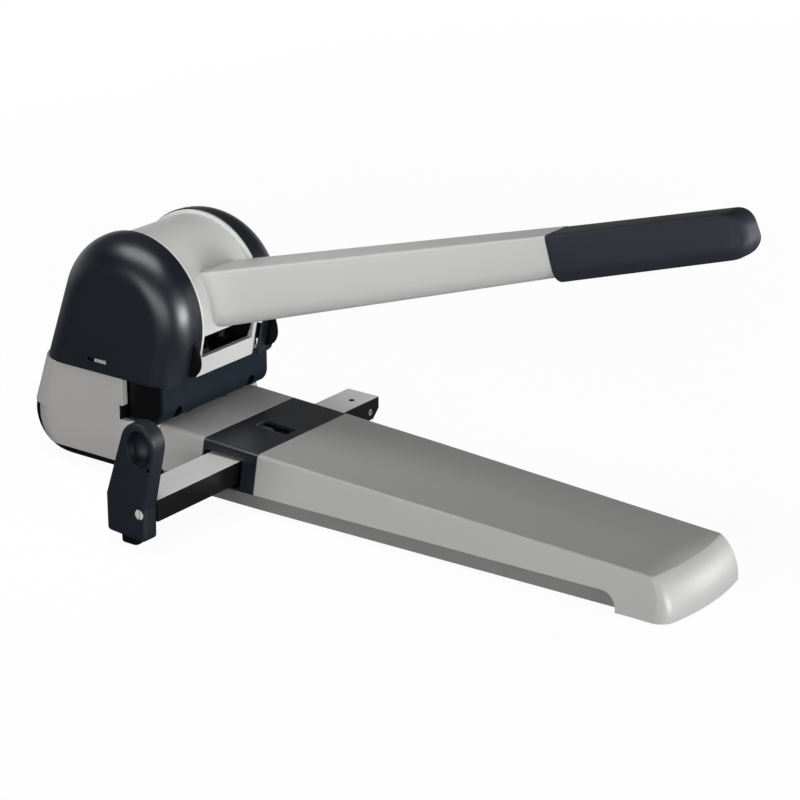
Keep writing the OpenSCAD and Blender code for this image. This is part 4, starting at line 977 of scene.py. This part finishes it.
start = ARM_END + SEAM
tip_start = ARM_END + GRIP_L - TIP_L
lip_bend, tip_bend = radians(0, 90, 4), radians(0, 90, 14)
u = np.concatenate([start + GRIP_LIP * (1 - np.cos(lip_bend)),
                    np.linspace(start + GRIP_EVEN, tip_start, GRIP_ROWS)[:-1],
                    tip_start + TIP_L * np.sin(tip_bend)])
draw = np.concatenate([np.zeros(len(u) - len(tip_bend)), 1 - np.cos(tip_bend)])
lip_in = np.concatenate([GRIP_LIP * (1 - np.sin(lip_bend)), np.zeros(len(u) - len(lip_bend))])
along = (u - start) / GRIP_L
top = GRIP_H / 2 - GRIP_DROP - TOP_FALL * along - TIP_TOP * draw - lip_in
low = -GRIP_H / 2 - GRIP_DROP + LOW_RISE * along + TIP_LOW * draw + lip_in
loops = section(GRIP_W - 2 * TIP_SIDE * draw - 2 * lip_in, top - low,
                GRIP_TOP_R + (TIP_R - GRIP_TOP_R) * draw, GRIP_LOW_R + (TIP_R - GRIP_LOW_R) * draw)
rise = loops[..., 1] / (top - low)[:, None] + 0.5
x = loops[..., 0] * (1 - TOP_NARROW * along[:, None] * rise)
v = loops[..., 1] + (top + low)[:, None] / 2
place(capped("grip", on_lever(x, u[:, None] + 0 * x, v)), "lever", "grip_plastic", ["lever_grip"])

# %% [markdown]
# ## Hold-down springs
# Two round-wire springs sit on the guide posts and push the hold-down to the paper. A stack of rings
# would not be a spring: one tube is carried along a helix, and its first and last turns lie flat.

# %% Springs
POST_TOP, SPRING_LOW = 104.0, 58.4
WIRE_R, COIL_R, TURNS, FLAT_TURN = 0.8, 5.75, 7.5, 0.7


def spring(side_sign, turn_steps=40, wire_steps=12):
    """A tube along a helix: the angle grows evenly, the height only between the flat end turns."""
    t = np.linspace(0, 1, int(TURNS * turn_steps))[:, None]
    angle = 2 * np.pi * TURNS * t
    low, high = SPRING_LOW + WIRE_R, POST_TOP - WIRE_R
    height = low + (high - low) * np.clip((t * TURNS - FLAT_TURN) / (TURNS - 2 * FLAT_TURN), 0, 1)
    spin = full_turn(wire_steps)
    r = COIL_R + WIRE_R * np.cos(spin)
    return np.stack([side_sign * POST_X + r * np.cos(angle), POST_Y + r * np.sin(angle),
                     height + WIRE_R * np.sin(spin)], -1)


for label, sign in SIDES:
    coil = capped("coil_" + label, spring(sign))
    # The coils wear the near-black steel: painted shade in the hub's window.
    place(coil, "base", "steel", ["spring_" + label], wears="steel_painted_shade")
    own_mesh(coil)

# %% [markdown]
# ## End stop
# The end stop is a moulded blade with a thumb dish. Its outline is a polygon whose corners are
# replaced by arcs; rings drawn in along the outline's normals round its faces, and the dish, the
# small hole and the screw's seat are cut out.

# %% Outlines with round corners
def touching(point, centre, radius, side_sign):
    """Where a line from the point touches the circle; side_sign picks one of the two."""
    away = point - centre
    angle = math.atan2(away[1], away[0]) + side_sign * math.acos(radius / math.hypot(*away))
    return centre + radius * np.array([math.cos(angle), math.sin(angle)])


def crossing(a, b, c, d):
    """Where the line a-b meets the line c-d."""
    s = np.linalg.solve(np.stack([b - a, c - d], -1), c - a)
    return a + s[0] * (b - a)


def unit(vectors):
    return vectors / np.linalg.norm(vectors, axis=1, keepdims=True)


def rounded_outline(corners, radii, steps=10):
    """A closed outline whose corners are arcs that touch both of their sides."""
    corners, radii = np.asarray(corners, float), np.asarray(radii, float)
    to_last = unit(np.roll(corners, 1, 0) - corners)
    to_next = unit(np.roll(corners, -1, 0) - corners)
    half = np.arccos(np.clip(np.sum(to_last * to_next, 1), -1, 1)) / 2
    centre = corners + unit(to_last + to_next) * (radii / np.sin(half))[:, None]
    first = corners + to_last * (radii / np.tan(half))[:, None] - centre
    last = corners + to_next * (radii / np.tan(half))[:, None] - centre
    a0 = np.arctan2(first[:, 1], first[:, 0])
    turn = (np.arctan2(last[:, 1], last[:, 0]) - a0 + np.pi) % (2 * np.pi) - np.pi
    a = a0[:, None] + turn[:, None] * np.linspace(0, 1, steps)
    arcs = centre[:, None] + radii[:, None, None] * np.stack([np.cos(a), np.sin(a)], -1)
    return arcs.reshape(-1, 2)


def drawn_in(outline, inset):
    """The closed outline moved inwards along its normals by each inset; rows follow inset."""
    along = unit(np.roll(outline, -1, 0) - np.roll(outline, 1, 0))
    inward = np.stack([-along[:, 1], along[:, 0]], -1)
    area = np.sum(outline[:, 0] * np.roll(outline[:, 1], -1) - outline[:, 1] * np.roll(outline[:, 0], -1))
    return outline + np.sign(area) * inset[:, None, None] * inward


square = [[0, 0], [9, 0], [9, 9], [0, 9]]
print("a square with round corners has", len(rounded_outline(square, np.ones(4))), "points")

# %% End stop
STOP_OUT, STOP_IN = -149.7, -137.2
BAR_TOP, STOP_LOW, STOP_RISE = 32.72, 5.2, 2.2
STOP_FRONT, STOP_BACK = -82.5, -49.5
STOP_C, STOP_R = np.array([-78.5, 74.5]), 14.5
BACK_CORNER = np.array([STOP_BACK, BAR_TOP + 1.5])
FRONT_CORNER = np.array([STOP_FRONT - 0.7, BAR_TOP - 4])
CORNER_RADII = (3.0, 3.0, 6.0, STOP_R, 12.0)
FACE_R, SEAT_R = 2.2, 0.8
DISH_AT, DISH_SIZE = np.array([STOP_OUT, -80.4, 71.8]), np.array([9.6, 10.2, 12.8])
HOLE_AT, HOLE_R, HOLE_DEPTH = (STOP_OUT - 1, -87.4, 58.4), 1.6, 6
SCREW_AT, SCREW_SEAT_R, SCREW_SEAT_L = (STOP_OUT - 1, -78.4, 25.0), 3.7, 3.5
SCREW_R, SCREW_L = 2.05, 30

apex = crossing(BACK_CORNER, touching(BACK_CORNER, STOP_C, STOP_R, 1),
                FRONT_CORNER, touching(FRONT_CORNER, STOP_C, STOP_R, -1))
outline = rounded_outline([[STOP_FRONT, STOP_LOW], [STOP_BACK, STOP_LOW + STOP_RISE], BACK_CORNER, apex,
                           FRONT_CORNER], CORNER_RADII, steps=16)
bend, seat = radians(90, 0, 7), radians(0, 90, 4)
rings = drawn_in(outline, np.concatenate([FACE_R * (1 - np.cos(bend)), SEAT_R * (1 - np.cos(seat))]))
x = np.concatenate([STOP_OUT + FACE_R * (1 - np.sin(bend)), STOP_IN - SEAT_R * (1 - np.sin(seat))])
stop = capped("stop_blade", np.concatenate([x[:, None, None] + 0 * rings[..., :1], rings], -1))
carve(stop, ball(DISH_AT, DISH_SIZE), rod(HOLE_AT, 0, HOLE_R, HOLE_DEPTH),
      rod(SCREW_AT, 0, SCREW_SEAT_R, SCREW_SEAT_L), rod(SCREW_AT, 0, SCREW_R, SCREW_L))
place(stop, "side_stop", "dark_plastic", ["end_stop"], smooth=30, wears="stop_plastic")

# %% Stop foot
FOOT_X, FOOT_Y = (-147.95, -138.95), (-74.0, -59.5)
FOOT_TOP, FOOT_LOW, FOOT_CORNER, FOOT_R = 8.0, 0.3, 3.2, 2.2

(x0, x1), (y0, y1) = FOOT_X, FOOT_Y
outline = rounded_outline([[x0, y0], [x1, y0], [x1, y1], [x0, y1]], np.full(4, FOOT_CORNER))
bend = radians(90, 0, 7)
rings = drawn_in(outline, np.concatenate([FOOT_R * (1 - np.cos(bend)), [0.0]]))
z = np.concatenate([FOOT_LOW + FOOT_R * (1 - np.sin(bend)), [FOOT_TOP]])
foot = capped("stop_shoe", np.concatenate([rings, z[:, None, None] + 0 * rings[..., :1]], -1))
place(foot, "side_stop", "black_plastic", ["stop_foot"])
